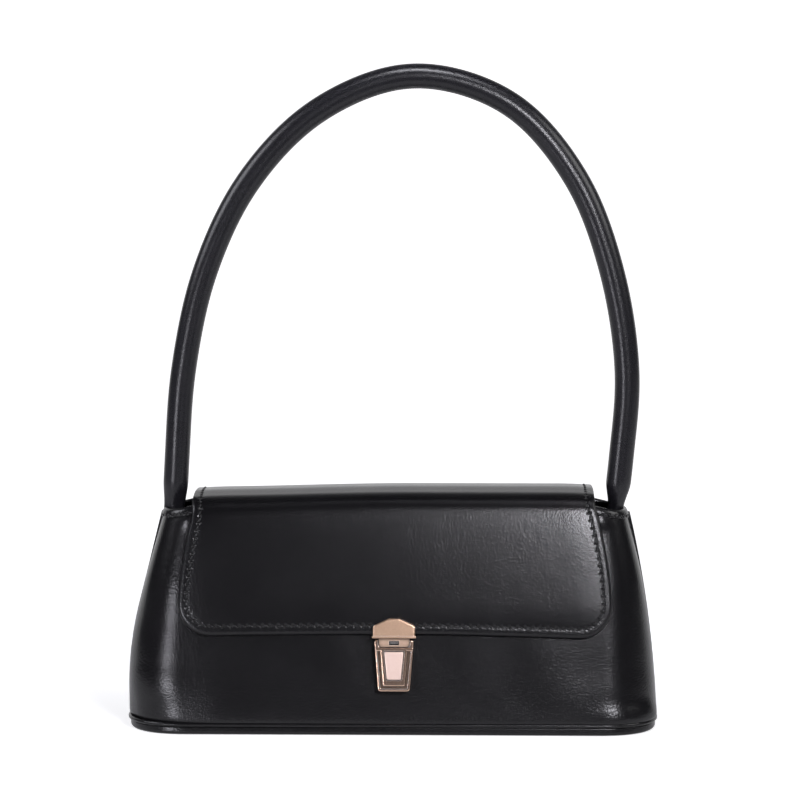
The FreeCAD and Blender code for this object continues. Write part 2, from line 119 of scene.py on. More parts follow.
def wall_shares(count):
    """Shares along a wall, closer together round the corners."""
    half = np.concatenate(
        [
            np.linspace(0, front_share, count, endpoint=False),
            np.linspace(front_share, seam_share, count, endpoint=False),
            np.linspace(seam_share, 1, count // 5),
        ]
    )
    return np.concatenate([-half[:0:-1], half])


def piece(name, points, faces, material, wear=None):
    """Smooth closed mesh from points and faces, with its normals turned outward."""
    mesh = bpy.data.meshes.new(name)
    mesh.from_pydata([tuple(p) for p in np.asarray(points).reshape(-1, 3)], [], faces)
    if wear is not None:
        layer = mesh.attributes.new("wear", "FLOAT", "POINT")
        layer.data.foreach_set("value", np.asarray(wear, np.float32).ravel())
    shape = bmesh.new()
    shape.from_mesh(mesh)
    bmesh.ops.remove_doubles(shape, verts=shape.verts, dist=weld_distance)
    bmesh.ops.recalc_face_normals(shape, faces=shape.faces)
    shape.to_mesh(mesh)
    shape.free()
    mesh.shade_smooth()
    mesh.materials.append(material)
    made = bpy.data.objects.new(name, mesh)
    bpy.context.scene.collection.objects.link(made)
    return made


def grid_faces(rows, columns, start=0, rings=False):
    """Four-sided faces of a grid of points, whose rows may be closed rings."""
    faces = []
    for row in range(rows - 1):
        for column in range(columns if rings else columns - 1):
            following = (column + 1) % columns
            low, high = start + row * columns, start + (row + 1) * columns
            faces.append((low + column, low + following, high + following, high + column))
    return faces


def shell(name, outer, inner, material, wear=None):
    """Sheet with a thickness: two grids of points joined along their four edges."""
    rows, columns = outer.shape[:2]
    start = rows * columns
    faces = grid_faces(rows, columns) + grid_faces(rows, columns, start)
    rim = list(range(columns))
    rim += [row * columns + columns - 1 for row in range(1, rows)]
    rim += [(rows - 1) * columns + column for column in range(columns - 2, -1, -1)]
    rim += [row * columns for row in range(rows - 2, 0, -1)]
    for here, there in zip(rim, rim[1:] + rim[:1]):
        faces.append((here, there, there + start, here + start))
    both = np.concatenate([outer.reshape(-1, 3), inner.reshape(-1, 3)])
    worn_and_shaded = None if wear is None else np.concatenate([wear.ravel(), wear.ravel()])
    return piece(name, both, faces, material, worn_and_shaded)


def tube(name, rings, material, closed=False, wear=None):
    """Skin over rings of points, closed into a loop or capped at its two ends."""
    count, sides = rings.shape[:2]
    points = rings.reshape(-1, 3)
    faces = grid_faces(count, sides, 0, True)
    if closed:
        last = (count - 1) * sides
        faces += [(last + i, last + (i + 1) % sides, (i + 1) % sides, i) for i in range(sides)]
    else:
        ends = [rings[0].mean(axis=0), rings[-1].mean(axis=0)]
        points = np.concatenate([points, ends])
        for first, centre in ((0, count * sides), ((count - 1) * sides, count * sides + 1)):
            faces += [(first + i, first + (i + 1) % sides, centre) for i in range(sides)]
        wear = None if wear is None else np.concatenate([wear.ravel(), [0.0, 0.0]])
    return piece(name, points, faces, material, wear)


def node(tree, kind, inputs=None, **settings):
    """Node with its settings made and each input linked or set."""
    made = tree.nodes.new(kind)
    for key, value in settings.items():
        setattr(made, key, value)
    for socket, value in (inputs or {}).items():
        if isinstance(value, bpy.types.NodeSocket):
            tree.links.new(value, made.inputs[socket])
        else:
            made.inputs[socket].default_value = value
    return made


def surface(name):
    """New material, its node tree and its shader."""
    material = bpy.data.materials.new(name)
    material.use_nodes = True
    return material, material.node_tree, material.node_tree.nodes["Principled BSDF"]


def feed(shader, socket, value):
    """Links a value to one of a shader's sockets."""
    shader.id_data.links.new(value, shader.inputs[socket])


def own_place(tree):
    """Place on the piece itself, so that its pattern moves with it."""
    return node(tree, "ShaderNodeTexCoord").outputs["Object"]


def attribute(tree, name):
    """Value that a piece's mesh carries at each point."""
    return node(tree, "ShaderNodeAttribute", attribute_name=name).outputs["Fac"]


def clouds(tree, size, detail):
    """Uneven pattern with soft patches of about one size."""
    pattern = {"Vector": own_place(tree), "Scale": 1 / size, "Detail": detail}
    return node(tree, "ShaderNodeTexNoise", pattern).outputs["Fac"]


def ribs(tree, spacing, distortion, detail):
    """Diagonal bands, as on twisted thread or twill."""
    pattern = {"Vector": own_place(tree), "Scale": 1 / spacing, "Distortion": distortion, "Detail": detail}
    return node(tree, "ShaderNodeTexWave", pattern, bands_direction="DIAGONAL").outputs["Fac"]


def reckon(tree, operation, *values, **settings):
    """Result of one step of arithmetic."""
    return node(tree, "ShaderNodeMath", dict(enumerate(values)), operation=operation, **settings).outputs[0]


def ramp(tree, value, low, high, start=0.0, stop=1.0, **settings):
    """Value spread from start and stop to low and high."""
    ends = {"Value": value, "From Min": start, "From Max": stop, "To Min": low, "To Max": high}
    return node(tree, "ShaderNodeMapRange", ends, **settings).outputs["Result"]


def mix_colours(tree, share, first, second):
    """Mix of two colours, each given plainly or taken from another node."""
    pair = [c if isinstance(c, bpy.types.NodeSocket) else (*c, 1.0) for c in (first, second)]
    mixed = node(tree, "ShaderNodeMix", {"Factor": share, "A": pair[0], "B": pair[1]}, data_type="RGBA")
    return mixed.outputs["Result"]


def relief(tree, height, strength, distance, over=None, **settings):
    """Normal of a surface with a pattern raised on it, over another relief where there is one."""
    inputs = {"Height": height, "Strength": strength, "Distance": distance}
    if over is not None:
        inputs["Normal"] = over
    return node(tree, "ShaderNodeBump", inputs, **settings).outputs["Normal"]


leather_cloud = 28.0 * mm
cloud_wear = 0.4
leather_wave_height = 1.2 * mm
leather_wave_strength = 0.12
stitch_hole_depth = 0.5 * mm
stitch_hole_shade_colour = (0.001, 0.001, 0.001)
grain_height = 0.12 * mm
pebble_softness = 0.6
pores_per_grain = 2.2
pore_height_share = 0.6
pore_dulling = 0.04
rubbed_dulling = 0.14
leather_shine = 0.4


def leather(name, dark, pale, roughness, grain, depth):
    """Coated leather: fine pebbled grain, soft clouds of colour and gloss, edges rubbed paler and duller, and
    painted shade darkening the stitch holes.
    """
    material, tree, shader = surface(name)
    turn = reckon(tree, "MULTIPLY", attribute(tree, "stitch_count"), 2 * math.pi)
    hole = ramp(tree, reckon(tree, "COSINE", turn), 0.0, 1.0, 0.2, 1.0, interpolation_type="SMOOTHSTEP")
    hole = reckon(tree, "MULTIPLY", hole, attribute(tree, "stitch_close"))
    cloud = clouds(tree, leather_cloud, 3.0)
    pore = clouds(tree, grain / pores_per_grain, 2.0)
    pebble = node(
        tree,
        "ShaderNodeTexVoronoi",
        {"Vector": own_place(tree), "Scale": 1 / grain, "Smoothness": pebble_softness},
        feature="SMOOTH_F1",
    ).outputs["Distance"]
    patches = ramp(tree, cloud, 0.0, cloud_wear)
    rubbed_and_highlit = reckon(tree, "ADD", patches, attribute(tree, "wear"), use_clamp=True)
    dyed = mix_colours(tree, rubbed_and_highlit, dark, pale)
    # Painted shade: the stitch holes are coloured near black, and the relief below sinks them.
    feed(shader, "Base Color", mix_colours(tree, hole, dyed, stitch_hole_shade_colour))
    dulled = ramp(tree, rubbed_and_highlit, roughness, roughness + rubbed_dulling)
    speck = ramp(tree, pore, -pore_dulling, pore_dulling)
    feed(shader, "Roughness", reckon(tree, "ADD", dulled, speck))
    waved = relief(tree, cloud, leather_wave_strength, leather_wave_height)
    pulled = relief(tree, hole, 1.0, stitch_hole_depth, waved, invert=True)
    fine = reckon(tree, "ADD", pebble, ramp(tree, pore, 0.0, pore_height_share))
    feed(shader, "Normal", relief(tree, fine, depth, grain_height, pulled))
    shader.inputs["Specular IOR Level"].default_value = leather_shine
    return material


body_grain = 0.9 * mm
black_leather = leather(
    "black_leather", (0.0028, 0.0026, 0.0032), (0.008, 0.0076, 0.0088), 0.215, body_grain, 0.46
)

base_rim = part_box("base_panel")[1].z
base_inset = 0.9 * mm
base_fold = 1.6 * mm
base_wall = 1.8 * mm
base_well = 1.2 * mm
base_well_edge = 0.2 * mm
base_floor_shares = (0.0, 0.35, 0.7, 0.9)
ring_columns = 30


def ring(height, inset):
    """Closed outline of the bag at one height."""
    shares = wall_shares(ring_columns)
    front = outline(height, inset, shares, -1)
    back = outline(height, inset, shares[::-1], 1)
    return np.concatenate([front, back[1:-1]])


def base_rings():
    """Rings of the tray from the middle of its underside, up over the rim and in to the middle again."""
    rings = []
    for share in base_floor_shares:
        rings.append(ring(0.0, base_inset + base_fold) * np.array([share, share, 1]))
    for step in np.linspace(0, math.pi / 2, 7):
        fold = base_fold * (1 - math.sin(step))
        rings.append(ring(base_fold * (1 - math.cos(step)), base_inset + fold))
    for height in np.linspace(base_fold, base_rim, 5)[1:]:
        rings.append(ring(height, base_inset))
    inner = base_inset + base_wall
    rings.append(ring(base_rim, inner))
    rings.append(ring(base_rim - base_well + base_well_edge, inner + base_well_edge))
    rings.append(ring(base_rim - base_well, inner) * np.array([0.0, 0.0, 1.0]))
    return np.array(rings)


base = tube("base", base_rings(), black_leather)
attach(base, "bag")
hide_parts("base_panel")

piping_low, piping_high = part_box("base_piping")
piping_fullness = 1.05
piping_radius = (piping_high.z - piping_low.z) / 2 * piping_fullness
piping_inset = 0.75 * mm
piping_sides = 12


def piping_rings():
    """Round rings of the piping all the way round the bag."""
    path = ring((piping_high.z + piping_low.z) / 2, piping_inset)
    ahead = np.roll(path, -1, axis=0) - np.roll(path, 1, axis=0)
    ahead /= np.linalg.norm(ahead, axis=1)[:, None]
    out = np.stack([ahead[:, 1], -ahead[:, 0], 0 * ahead[:, 0]], axis=-1)
    turns = np.linspace(0, 2 * math.pi, piping_sides, endpoint=False)
    rings = path[:, None, :] + piping_radius * np.cos(turns)[None, :, None] * out[:, None, :]
    rings[:, :, 2] += piping_radius * np.sin(turns)[None, :]
    return rings


piping = tube("piping", piping_rings(), black_leather, closed=True)
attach(piping, "bag")
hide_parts("base_piping")

board, board_tree, board_shader = surface("grey_board")
board_fibre = clouds(board_tree, 1.0 * mm, 4.0)
feed(board_shader, "Base Color", mix_colours(board_tree, board_fibre, (0.16, 0.14, 0.12), (0.26, 0.23, 0.2)))
feed(board_shader, "Roughness", ramp(board_tree, board_fibre, 0.75, 0.95))
cad["base_board"].material_slots[0].material = board


# Walls
# Front and back are two leather panels sewn together at the ends. They lean in
# towards the mouth, belly out a little and roll under to the seam on the base.

foot_lift = 0.7 * mm
panel_foot = piping_low.z + foot_lift
panel_thickness = 1.3 * mm
panel_columns = 44
roll_height = 4.0 * mm
roll_depth = 2.0 * mm
roll_step_shares = np.array([0, 0.04, 0.1, 0.2, 0.32, 0.46, 0.62, 0.8, 1.0])
roll_corner_shares = (0.5, 0.72)
front_roll_share = 0.5
hem_dip = 4.6 * mm
dip_start = 80.0 * mm
dip_power = 1.3

# The corners slump: a tuck and a hollow on the left, a flare and a shallow hollow on the right.
# Where a pair is picked by side, here and below, it gives the left and then the right.
bend_shares = (0.80, 0.93)
tuck_depth = 1.6 * mm
tuck_levels = (30.0 * mm, 8.0 * mm)
tuck_shares = (0.46, 0.66)
flare_stand = 1.1 * mm
flare_levels = (4.0 * mm, 7.0 * mm, 9.0 * mm, 17.0 * mm)
flare_shares = (0.50, 0.66)
hollow_depths = (0.8 * mm, 0.3 * mm)
hollow_levels = (18.0 * mm, 34.0 * mm, 50.0 * mm, 75.0 * mm)
hollow_shares = (0.40, 0.68)

# The hems and seams draw the leather in, and it gathers beside the handle's ends.
gather_stand = 0.8 * mm
gather_reach, gather_reach_width = 101.0 * mm, 4.0 * mm
gather_level, gather_level_width = 103.5 * mm, 2.6 * mm
seam_pull = 0.9 * mm
seam_pull_share = 0.045
hem_pull = 0.35 * mm
hem_pull_height = 5.0 * mm
mouth_pulls = (1.0 * mm, 1.3 * mm)
mouth_pull_levels = (70.0 * mm, 108.0 * mm)

# Height of each wave, its turns across and up in radians per metre, and its start.
wave_sizes = ((0.16 * mm, 61.0, 17.0, 0.4), (0.09 * mm, 113.0, 43.0, 1.9), (0.05 * mm, 190.0, 71.0, 3.1))
still_seam_share = 0.2
still_foot = 15.0 * mm
still_top = 10.0 * mm


def hem_height(share, top):
    """Height of the wall's top edge, which dips towards the end seams."""
    x = np.abs(outline(top + 0 * share, 0.0, share, 1)[..., 0])
    return top - hem_dip * ease(x, dip_start, mouth_half_length) ** dip_power


def waves(points):
    """Slight unevenness of leather that has no stiffener behind it."""
    total = 0.0
    for size, across, up, start in wave_sizes:
        turn = points[..., 0] * across + (points[..., 1] + points[..., 2]) * up + start
        total = total + size * np.sin(turn)
    return total


def foot_roll(height):
    """How far the leather rolls in above the piping."""
    lift = np.clip((height - panel_foot) / roll_height, 0.0, 1.0)
    return roll_depth * (1 - np.sqrt(1 - (1 - lift) ** 2))


def wall_inset(height, share, top):
    """How far the leather stands in from the plain form of the bag."""
    along = np.abs(share)
    x = np.abs(outline(height, 0.0, share, 1)[..., 0])
    on_front = 1 - ease(along, *bend_shares)
    tuck = tuck_depth * ease(height, *tuck_levels) * ease(along, *tuck_shares)
    flare = flare_stand * rise_and_fall(height, *flare_levels) * ease(along, *flare_shares)
    hollow = rise_and_fall(height, *hollow_levels) * ease(along, *hollow_shares)
    slack = np.where(share < 0, tuck, -flare) + np.where(share < 0, *hollow_depths) * hollow
    gather = swell(height - gather_level, gather_level_width) * swell(x - gather_reach, gather_reach_width)
    drawn_in = ease(height, *mouth_pull_levels) * ease(along, front_share, seam_share)
    inset = foot_roll(height) * between(front_roll_share, 1.0, ease(along, *roll_corner_shares))
    inset = inset + on_front * slack - gather_stand * gather
    inset = inset + seam_pull * swell(1 - along, seam_pull_share)
    inset = inset + hem_pull * swell(top - height, hem_pull_height)
    return inset + np.where(share < 0, *mouth_pulls) * drawn_in


def wall_heights(share, top):
    """Heights of the rows of a wall, closer together in the roll at its foot."""
    steps = np.concatenate(
        [
            panel_foot + roll_height * roll_step_shares,
            np.linspace(panel_foot + roll_height, body_height, 46)[1:],
        ]
    )
    shares = (steps - panel_foot) / (body_height - panel_foot)
    return panel_foot + shares[:, None] * (hem_height(share, top)[None, :] - panel_foot)


def wall(side, depth, columns, top):
    """Grid of points of one wall at a depth under its outer face."""
    share = wall_shares(columns)[None, :]
    height = wall_heights(share[0], top)
    share = share + 0 * height
    inset = wall_inset(height, share, top)
    rough = outline(height, inset, share, side)
    free = ease(1 - np.abs(share), 0.0, still_seam_share) * ease(height, panel_foot, panel_foot + still_foot)
    soft = waves(rough) * free * ease(top - height, 0.0, still_top)
    return outline(height, inset + soft + depth, share, side)


foot_wear = 0.5
foot_wear_height = 6.0 * mm
front_wear_share = 0.4
seam_wear = 0.35
seam_wear_share = 0.05


def wall_wear():
    """Rubbing along the foot, most of it at the corners, and along the end seams."""
    share = wall_shares(panel_columns)[None, :]
    height = wall_heights(share[0], body_height)
    foot = swell(height - panel_foot, foot_wear_height)
    corner = between(front_wear_share, 1.0, ease(np.abs(share), front_share, seam_share))
    return foot_wear * foot * corner + seam_wear * swell(1 - np.abs(share), seam_wear_share)


panels = []
for side, name in ((-1, "front"), (1, "back")):
    panel = shell(
        name + "_wall",
        wall(side, 0.0, panel_columns, body_height),
        wall(side, panel_thickness, panel_columns, body_height),
        black_leather,
        wall_wear(),
    )
    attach(panel, "bag")
    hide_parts(name + "_panel")
    panels.append(panel)


# End seams
# The panels meet at each end in a seam turned outward: two raw edges pressed
# flat into a narrow standing welt, with a row of stitches on either side.

welt_half = 1.0 * mm
welt_stand = 1.0 * mm
welt_inset = 0.6 * mm
welt_overlap = 0.6 * mm
welt_top_gap = 1.5 * mm
welt_wear = 0.25
welt_shares = np.array(
    [(-1.3, -0.9), (-1.0, 0.1), (-0.85, 0.7), (-0.5, 1.0), (-0.15, 0.9), (0, 0.45)]
    + [(0.15, 0.9), (0.5, 1.0), (0.85, 0.7), (1.0, 0.1), (1.3, -0.9)]
)


def seam_line(end):
    """Line of an end seam from the base to the hem."""
    heights = np.linspace(panel_foot - welt_overlap, body_height - hem_dip - welt_top_gap, 70)
    share = np.full_like(heights, float(end))
    return outline(heights, welt_inset + foot_roll(heights), share, 1)


for end, name in ((-1, "left"), (1, "right")):
    rings = np.repeat(seam_line(end)[:, None, :], len(welt_shares), axis=1)
    rings[:, :, 0] += end * welt_stand * welt_shares[None, :, 1]
    rings[:, :, 1] += welt_half * welt_shares[None, :, 0]
    welt = tube(name + "_welt", rings, black_leather, wear=np.full(rings.shape[:2], welt_wear))
    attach(welt, "bag")
    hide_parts("side_welt_" + name)

thread_twist_length = 1.1 * mm
thread_ply_height = 0.1 * mm
thread, thread_tree, thread_shader = surface("black_thread")
thread_ply = ribs(thread_tree, thread_twist_length, 1.5, 1.0)
thread_colour = mix_colours(thread_tree, thread_ply, (0.003, 0.003, 0.0035), (0.011, 0.0105, 0.012))
feed(thread_shader, "Base Color", thread_colour)
feed(thread_shader, "Normal", relief(thread_tree, thread_ply, 0.5, thread_ply_height))
thread_shader.inputs["Roughness"].default_value = 0.32

stitch_pitch = 3.75 * mm
stitch_size = (2.4 * mm, 0.9 * mm, 0.75 * mm)
stitch_slant = math.radians(-22)
hole_search = 3.0 * mm
hole_size = 0.6 * mm


def stitch_tree():
    """Puts one stitch on each point of a mesh, lying along its 'ahead' and standing on its 'out'."""
    tree = bpy.data.node_groups.new("stitches", "GeometryNodeTree")
    tree.interface.new_socket("Geometry", in_out="INPUT", socket_type="NodeSocketGeometry")
    sizes = {}
    for label in ("Length", "Width", "Height"):
        socket = tree.interface.new_socket(label, in_out="INPUT", socket_type="NodeSocketFloat")
        sizes[label] = socket.identifier
    finish = tree.interface.new_socket("Thread", in_out="INPUT", socket_type="NodeSocketMaterial").identifier
    tree.interface.new_socket("Geometry", in_out="OUTPUT", socket_type="NodeSocketGeometry")
    given = tree.nodes.new("NodeGroupInput")
    result = tree.nodes.new("NodeGroupOutput")
    ahead = node(tree, "GeometryNodeInputNamedAttribute", {"Name": "ahead"}, data_type="FLOAT_VECTOR")
    out = node(tree, "GeometryNodeInputNamedAttribute", {"Name": "out"}, data_type="FLOAT_VECTOR")
    turn = node(
        tree,
        "FunctionNodeAxesToRotation",
        {0: ahead.outputs["Attribute"], 1: out.outputs["Attribute"]},
        primary_axis="X",
        secondary_axis="Z",
    )
    size = node(
        tree,
        "ShaderNodeCombineXYZ",
        {"X": given.outputs["Length"], "Y": given.outputs["Width"], "Z": given.outputs["Height"]},
    )
    bead = node(tree, "GeometryNodeMeshUVSphere", {"Segments": 8, "Rings": 6, "Radius": 0.5})
    points = node(tree, "GeometryNodeMeshToPoints", {"Mesh": given.outputs["Geometry"]})
    placed = node(
        tree,
        "GeometryNodeInstanceOnPoints",
        {
            "Points": points.outputs["Points"],
            "Instance": bead.outputs["Mesh"],
            "Rotation": turn.outputs["Rotation"],
            "Scale": size.outputs["Vector"],
        },
    )
    real = node(tree, "GeometryNodeRealizeInstances", {"Geometry": placed.outputs["Instances"]})
    rounded = node(tree, "GeometryNodeSetShadeSmooth", {"Geometry": real.outputs["Geometry"]})
    dyed = node(
        tree,
        "GeometryNodeSetMaterial",
        {"Geometry": rounded.outputs["Geometry"], "Material": given.outputs["Thread"]},
    )
    tree.links.new(dyed.outputs["Geometry"], result.inputs["Geometry"])
    return tree, sizes, finish


stitching, stitch_inputs, stitch_finish = stitch_tree()


def run_along(path):
    """Length covered at each point of a path."""
    return np.concatenate([[0.0], np.cumsum(np.linalg.norm(np.diff(path, axis=0), axis=1))])


def at_run(values, run, places):
    """Values along a path, read at other places along it."""
    return np.stack([np.interp(places, run, column) for column in values.T], axis=-1)


def stitch_total(run, pitch):
    """Number of stitches that fill a run."""
    return max(2, int(round(run[-1] / pitch)))


def evenly(path, out, pitch):
    """Points at an even pitch along a path, with the way ahead and the way out at each."""
    run = run_along(path)
    count = stitch_total(run, pitch)
    places = (np.arange(count) + 0.5) * run[-1] / count
    small = pitch / 10
    later = at_run(path, run, np.minimum(places + small, run[-1]))
    earlier = at_run(path, run, np.maximum(places - small, 0.0))
    return at_run(path, run, places), later - earlier, at_run(out, run, places)


def stitches(name, runs, size=stitch_size, pitch=stitch_pitch):
    """One mesh of stitches along several runs; each run is a path and its outward directions."""
    rows = [evenly(path, out, pitch) for path, out in runs]
    points, ahead, out = (np.concatenate(column) for column in zip(*rows))
    ahead /= np.linalg.norm(ahead, axis=1)[:, None]
    aside = np.cross(out, ahead)
    aside /= np.linalg.norm(aside, axis=1)[:, None]
    ahead = ahead * math.cos(stitch_slant) + aside * math.sin(stitch_slant)
    seeds = bpy.data.meshes.new(name + "_seeds")
    seeds.from_pydata([tuple(p) for p in points], [], [])
    for label, values in (("ahead", ahead), ("out", out)):
        layer = seeds.attributes.new(label, "FLOAT_VECTOR", "POINT")
        layer.data.foreach_set("vector", values.astype(np.float32).ravel())
    holder = bpy.data.objects.new(name + "_seeds", seeds)
    bpy.context.scene.collection.objects.link(holder)
    modifier = holder.modifiers.new("stitches", "NODES")
    modifier.node_group = stitching
    for label, value in zip(("Length", "Width", "Height"), size):
        modifier[stitch_inputs[label]] = value
    modifier[stitch_finish] = thread
    bpy.context.view_layer.update()
    graph = bpy.context.evaluated_depsgraph_get()
    mesh = bpy.data.meshes.new_from_object(holder.evaluated_get(graph), depsgraph=graph)
    bpy.data.objects.remove(holder)
    mesh.name = name
    made = bpy.data.objects.new(name, mesh)
    bpy.context.scene.collection.objects.link(made)
    return made


def mark_stitches(made, runs):
    """Writes on a leather piece how near each point is to a row of stitches, and the count along that row."""
    mesh = made.data
    points = np.array([v.co for v in mesh.vertices])
    nearest = np.full(len(points), 1.0)
    count = np.zeros(len(points))
    for path, _ in runs:
        run = run_along(path)
        steps = run * stitch_total(run, stitch_pitch) / run[-1]
        above = (points > path.min(axis=0) - hole_search).all(axis=1)
        below = (points < path.max(axis=0) + hole_search).all(axis=1)
        for index in np.nonzero(above & below)[0]:
            away = np.linalg.norm(path - points[index], axis=1)
            best = int(away.argmin())
            if away[best] < nearest[index]:
                nearest[index] = away[best]
                count[index] = steps[best]
    for label, values in (("stitch_close", swell(nearest, hole_size)), ("stitch_count", count)):
        layer = mesh.attributes.new(label, "FLOAT", "POINT")
        layer.data.foreach_set("value", values.astype(np.float32))


def surface_run(skin, places):
    """Path on a surface and the way out of it, from a function of place and of depth."""
    path = skin(places, 0.0)
    return path, path - skin(places, 1.0 * mm)


seam_stitch_gap = 2.6 * mm
seam_stitch_top = 6.0 * mm


def seam_run(side, end):
    """Row of stitches up one side of an end seam."""
    heights = np.linspace(panel_foot + roll_height, body_height - hem_dip - seam_stitch_top, 400)
    depth = between(base_half_depth, mouth_half_depth, heights / body_height)
    flat = depth * (1 - between(*corner_shares, heights / body_height))
    share = end * (1 - (1 - seam_share) * np.minimum(1.0, seam_stitch_gap / flat))

    def skin(height, depth):
        return outline(height, wall_inset(height, share, body_height) + depth, share, side)

    return surface_run(skin, heights)


seam_runs = [seam_run(side, end) for side in (-1, 1) for end in (-1, 1)]
seam_stitches = stitches("seam_stitches", seam_runs)
for panel in panels:
    mark_stitches(panel, seam_runs)
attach(seam_stitches, "bag")


# Hems
# A leather strip folded over the top edge of each wall and stitched through;
# the front and back strips meet in a small folded lump at each end seam.

# Distance out of the wall and height over its top edge, round the strip.
hem_profile = np.array(
    [(0.1, -3.5), (0.65, -3.4), (0.85, -3.1), (0.87, -2.8), (0.86, -2.5), (0.88, -2.2), (0.9, -1.6)]
    + [(0.85, -0.6), (0.5, 0.2), (-0.2, 0.7), (-1.2, 0.75), (-2.0, 0.6), (-2.6, 0.1), (-2.9, -0.7)]
    + [(-2.9, -3.2), (-2.7, -3.5), (-2.2, -3.5), (-1.0, -3.0)]
) * mm
hem_lump_share = 0.05
hem_lump_rise = 0.12
hem_lump_stand = 0.5
hem_stitch_drop = 2.5 * mm
hem_stitch_stand = 0.88 * mm
hem_stitch_share = 0.97


def hem_rings(side):
    """Rings of one strip from the left seam to the right seam."""
    share = wall_shares(panel_columns)
    top = hem_height(share, body_height)
    lump = swell(1 - np.abs(share), hem_lump_share)
    rings = []
    for out, up in hem_profile:
        height = top + up * (1 + hem_lump_rise * lump)
        inset = wall_inset(top + np.minimum(up, 0.0), share, body_height)
        inset = inset - out - max(out, 0.0) * hem_lump_stand * lump
        rings.append(outline(height, inset, share, side))
    return np.stack(rings, axis=1)


def hem_run(side):
    """Row of stitches along the outside of one strip."""

    def skin(share, depth):
        height = hem_height(share, body_height) - hem_stitch_drop
        inset = wall_inset(height, share, body_height) - hem_stitch_stand
        return outline(height, inset + depth, share, side)

    return surface_run(skin, np.linspace(-hem_stitch_share, hem_stitch_share, 900))


for side, name in ((-1, "front"), (1, "back")):
    hem = tube(name + "_hem_strip", hem_rings(side), black_leather)
    mark_stitches(hem, [hem_run(side)])
    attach(hem, "bag")
    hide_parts(name + "_hem")
hem_stitches = stitches("hem_stitches", [hem_run(-1), hem_run(1)])
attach(hem_stitches, "bag")


# Lining
# A loose sack of black twill sewn in under the hems, with a flat slip pocket
# on the back wall and a floor of the same cloth over the base board.

twill_cloud = 15.0 * mm
twill_rib = 5 / 3 * mm
twill_rib_height = 0.15 * mm


def cloth(name, dark, pale):
    """Twill: fine diagonal ribs over soft, uneven dye."""
    material, tree, shader = surface(name)
    rib = ribs(tree, twill_rib, 0.6, 1.0)
    feed(shader, "Base Color", mix_colours(tree, clouds(tree, twill_cloud, 4.0), dark, pale))
    feed(shader, "Roughness", ramp(tree, rib, 0.85, 0.65))
    feed(shader, "Normal", relief(tree, rib, 0.5, twill_rib_height))
    shader.inputs["Sheen Weight"].default_value = 0.25
    return material


twill = cloth("black_twill", (0.012, 0.0115, 0.013), (0.03, 0.029, 0.032))
lining_depth = 2.0 * mm
lining_thickness = 0.6 * mm
lining_columns = 36
lining_top = body_height - 2 * mm
sag_levels = (6.0 * mm, 25.0 * mm, 60.0 * mm, 100.0 * mm)
sag_depth = 0.8 * mm
sag_wave = 0.7 * mm
# Radians per metre, here and in the floor's ripples.
sag_turns_across, sag_turns_up = 55, 30


def lining_grid(side, depth):
    """Grid of points of one wall's lining, which sags inward in soft folds."""
    points = wall(side, depth, lining_columns, lining_top)
    folds = np.sin(points[..., 0] * sag_turns_across + points[..., 2] * sag_turns_up)
    sag = rise_and_fall(points[..., 2], *sag_levels)
    points[..., 1] -= side * (sag_depth + sag_wave * folds) * sag
    return points


for side, name in ((-1, "front"), (1, "back")):
    lining = shell(
        name + "_lining_cloth",
        lining_grid(side, lining_depth),
        lining_grid(side, lining_depth + lining_thickness),
        twill,
    )
    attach(lining, "bag")
    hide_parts(name + "_lining")

floor_low, floor_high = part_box("base_lining")
floor_margin = 4.6 * mm
floor_shares = (0.0, 0.2, 0.4, 0.6, 0.75, 0.87, 0.95, 1.0)
floor_ripple = 0.25 * mm
floor_turns_across, floor_turns_deep = 70, 110


def floor_rings(level):
    """Rings of one face of the floor from its middle to its edge."""
    rings = []
    for share in floor_shares:
        loop = ring(floor_high.z, floor_margin) * np.array([share, share, 1])
        ripple = np.sin(loop[:, 0] * floor_turns_across) * np.cos(loop[:, 1] * floor_turns_deep)
        loop[:, 2] = level + floor_ripple * ripple * (1 - share)
        rings.append(loop)
    return rings


floor_cloth = tube("floor_cloth", np.array(floor_rings(floor_low.z) + floor_rings(floor_high.z)[::-1]), twill)
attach(floor_cloth, "bag")
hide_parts("base_lining")

pocket_low, pocket_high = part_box("slip_pocket")
pocket_half = pocket_high.x
pocket_foot, pocket_top = pocket_low.z, pocket_high.z
pocket_thickness = 0.6 * mm
pocket_gap = 1.2 * mm
pocket_bulge = 1.6 * mm
pocket_corner_share = 0.12
pocket_corner_cut_share = 0.06
pocket_stitch_size = (2.2 * mm, 0.4 * mm, 0.4 * mm)
pocket_stitch_pitch = 3 * mm
pocket_side_column = 2
pocket_hem_row = -5


def pocket_grid(lift):
    """Grid of points of the pocket, which stands off the back lining and bulges at its mouth."""
    across = np.linspace(-1, 1, 49)[None, :]
    up = np.concatenate([np.linspace(0, 0.94, 24), [0.97, 0.99, 1.0]])[:, None]
    low = np.clip(1 - up / pocket_corner_share, 0, 1)
    narrowing = 1 - (1 - np.sqrt(np.clip(1 - low**2, 0, 1))) * pocket_corner_cut_share
    x = across * pocket_half * narrowing + 0 * up
    z = between(pocket_foot, pocket_top, up) + 0 * across
    wall_y = between(base_half_depth, mouth_half_depth, z / body_height) - lining_depth - lining_thickness
    belly = pocket_bulge * (1 - across**2) * ease(up, 0.0, 0.9) + pocket_gap
    return np.stack([x, wall_y - belly - lift, z], axis=-1)


def pocket_runs():
    """Rows of stitches round the pocket's sides and foot, and along the hem at its mouth."""
    grid = pocket_grid(pocket_thickness)
    column = pocket_side_column
    edge = np.concatenate([grid[:0:-1, column], grid[1, column:-column], grid[1:, -column - 1]])
    hem = grid[pocket_hem_row, 1:-1]
    return [(path, np.tile([0.0, -1.0, 0.0], (len(path), 1))) for path in (edge, hem)]


pocket = shell("pocket", pocket_grid(pocket_thickness), pocket_grid(0.0), twill)
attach(pocket, "bag")
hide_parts("slip_pocket")
pocket_stitches = stitches("pocket_stitches", pocket_runs(), pocket_stitch_size, pocket_stitch_pitch)
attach(pocket_stitches, "bag")


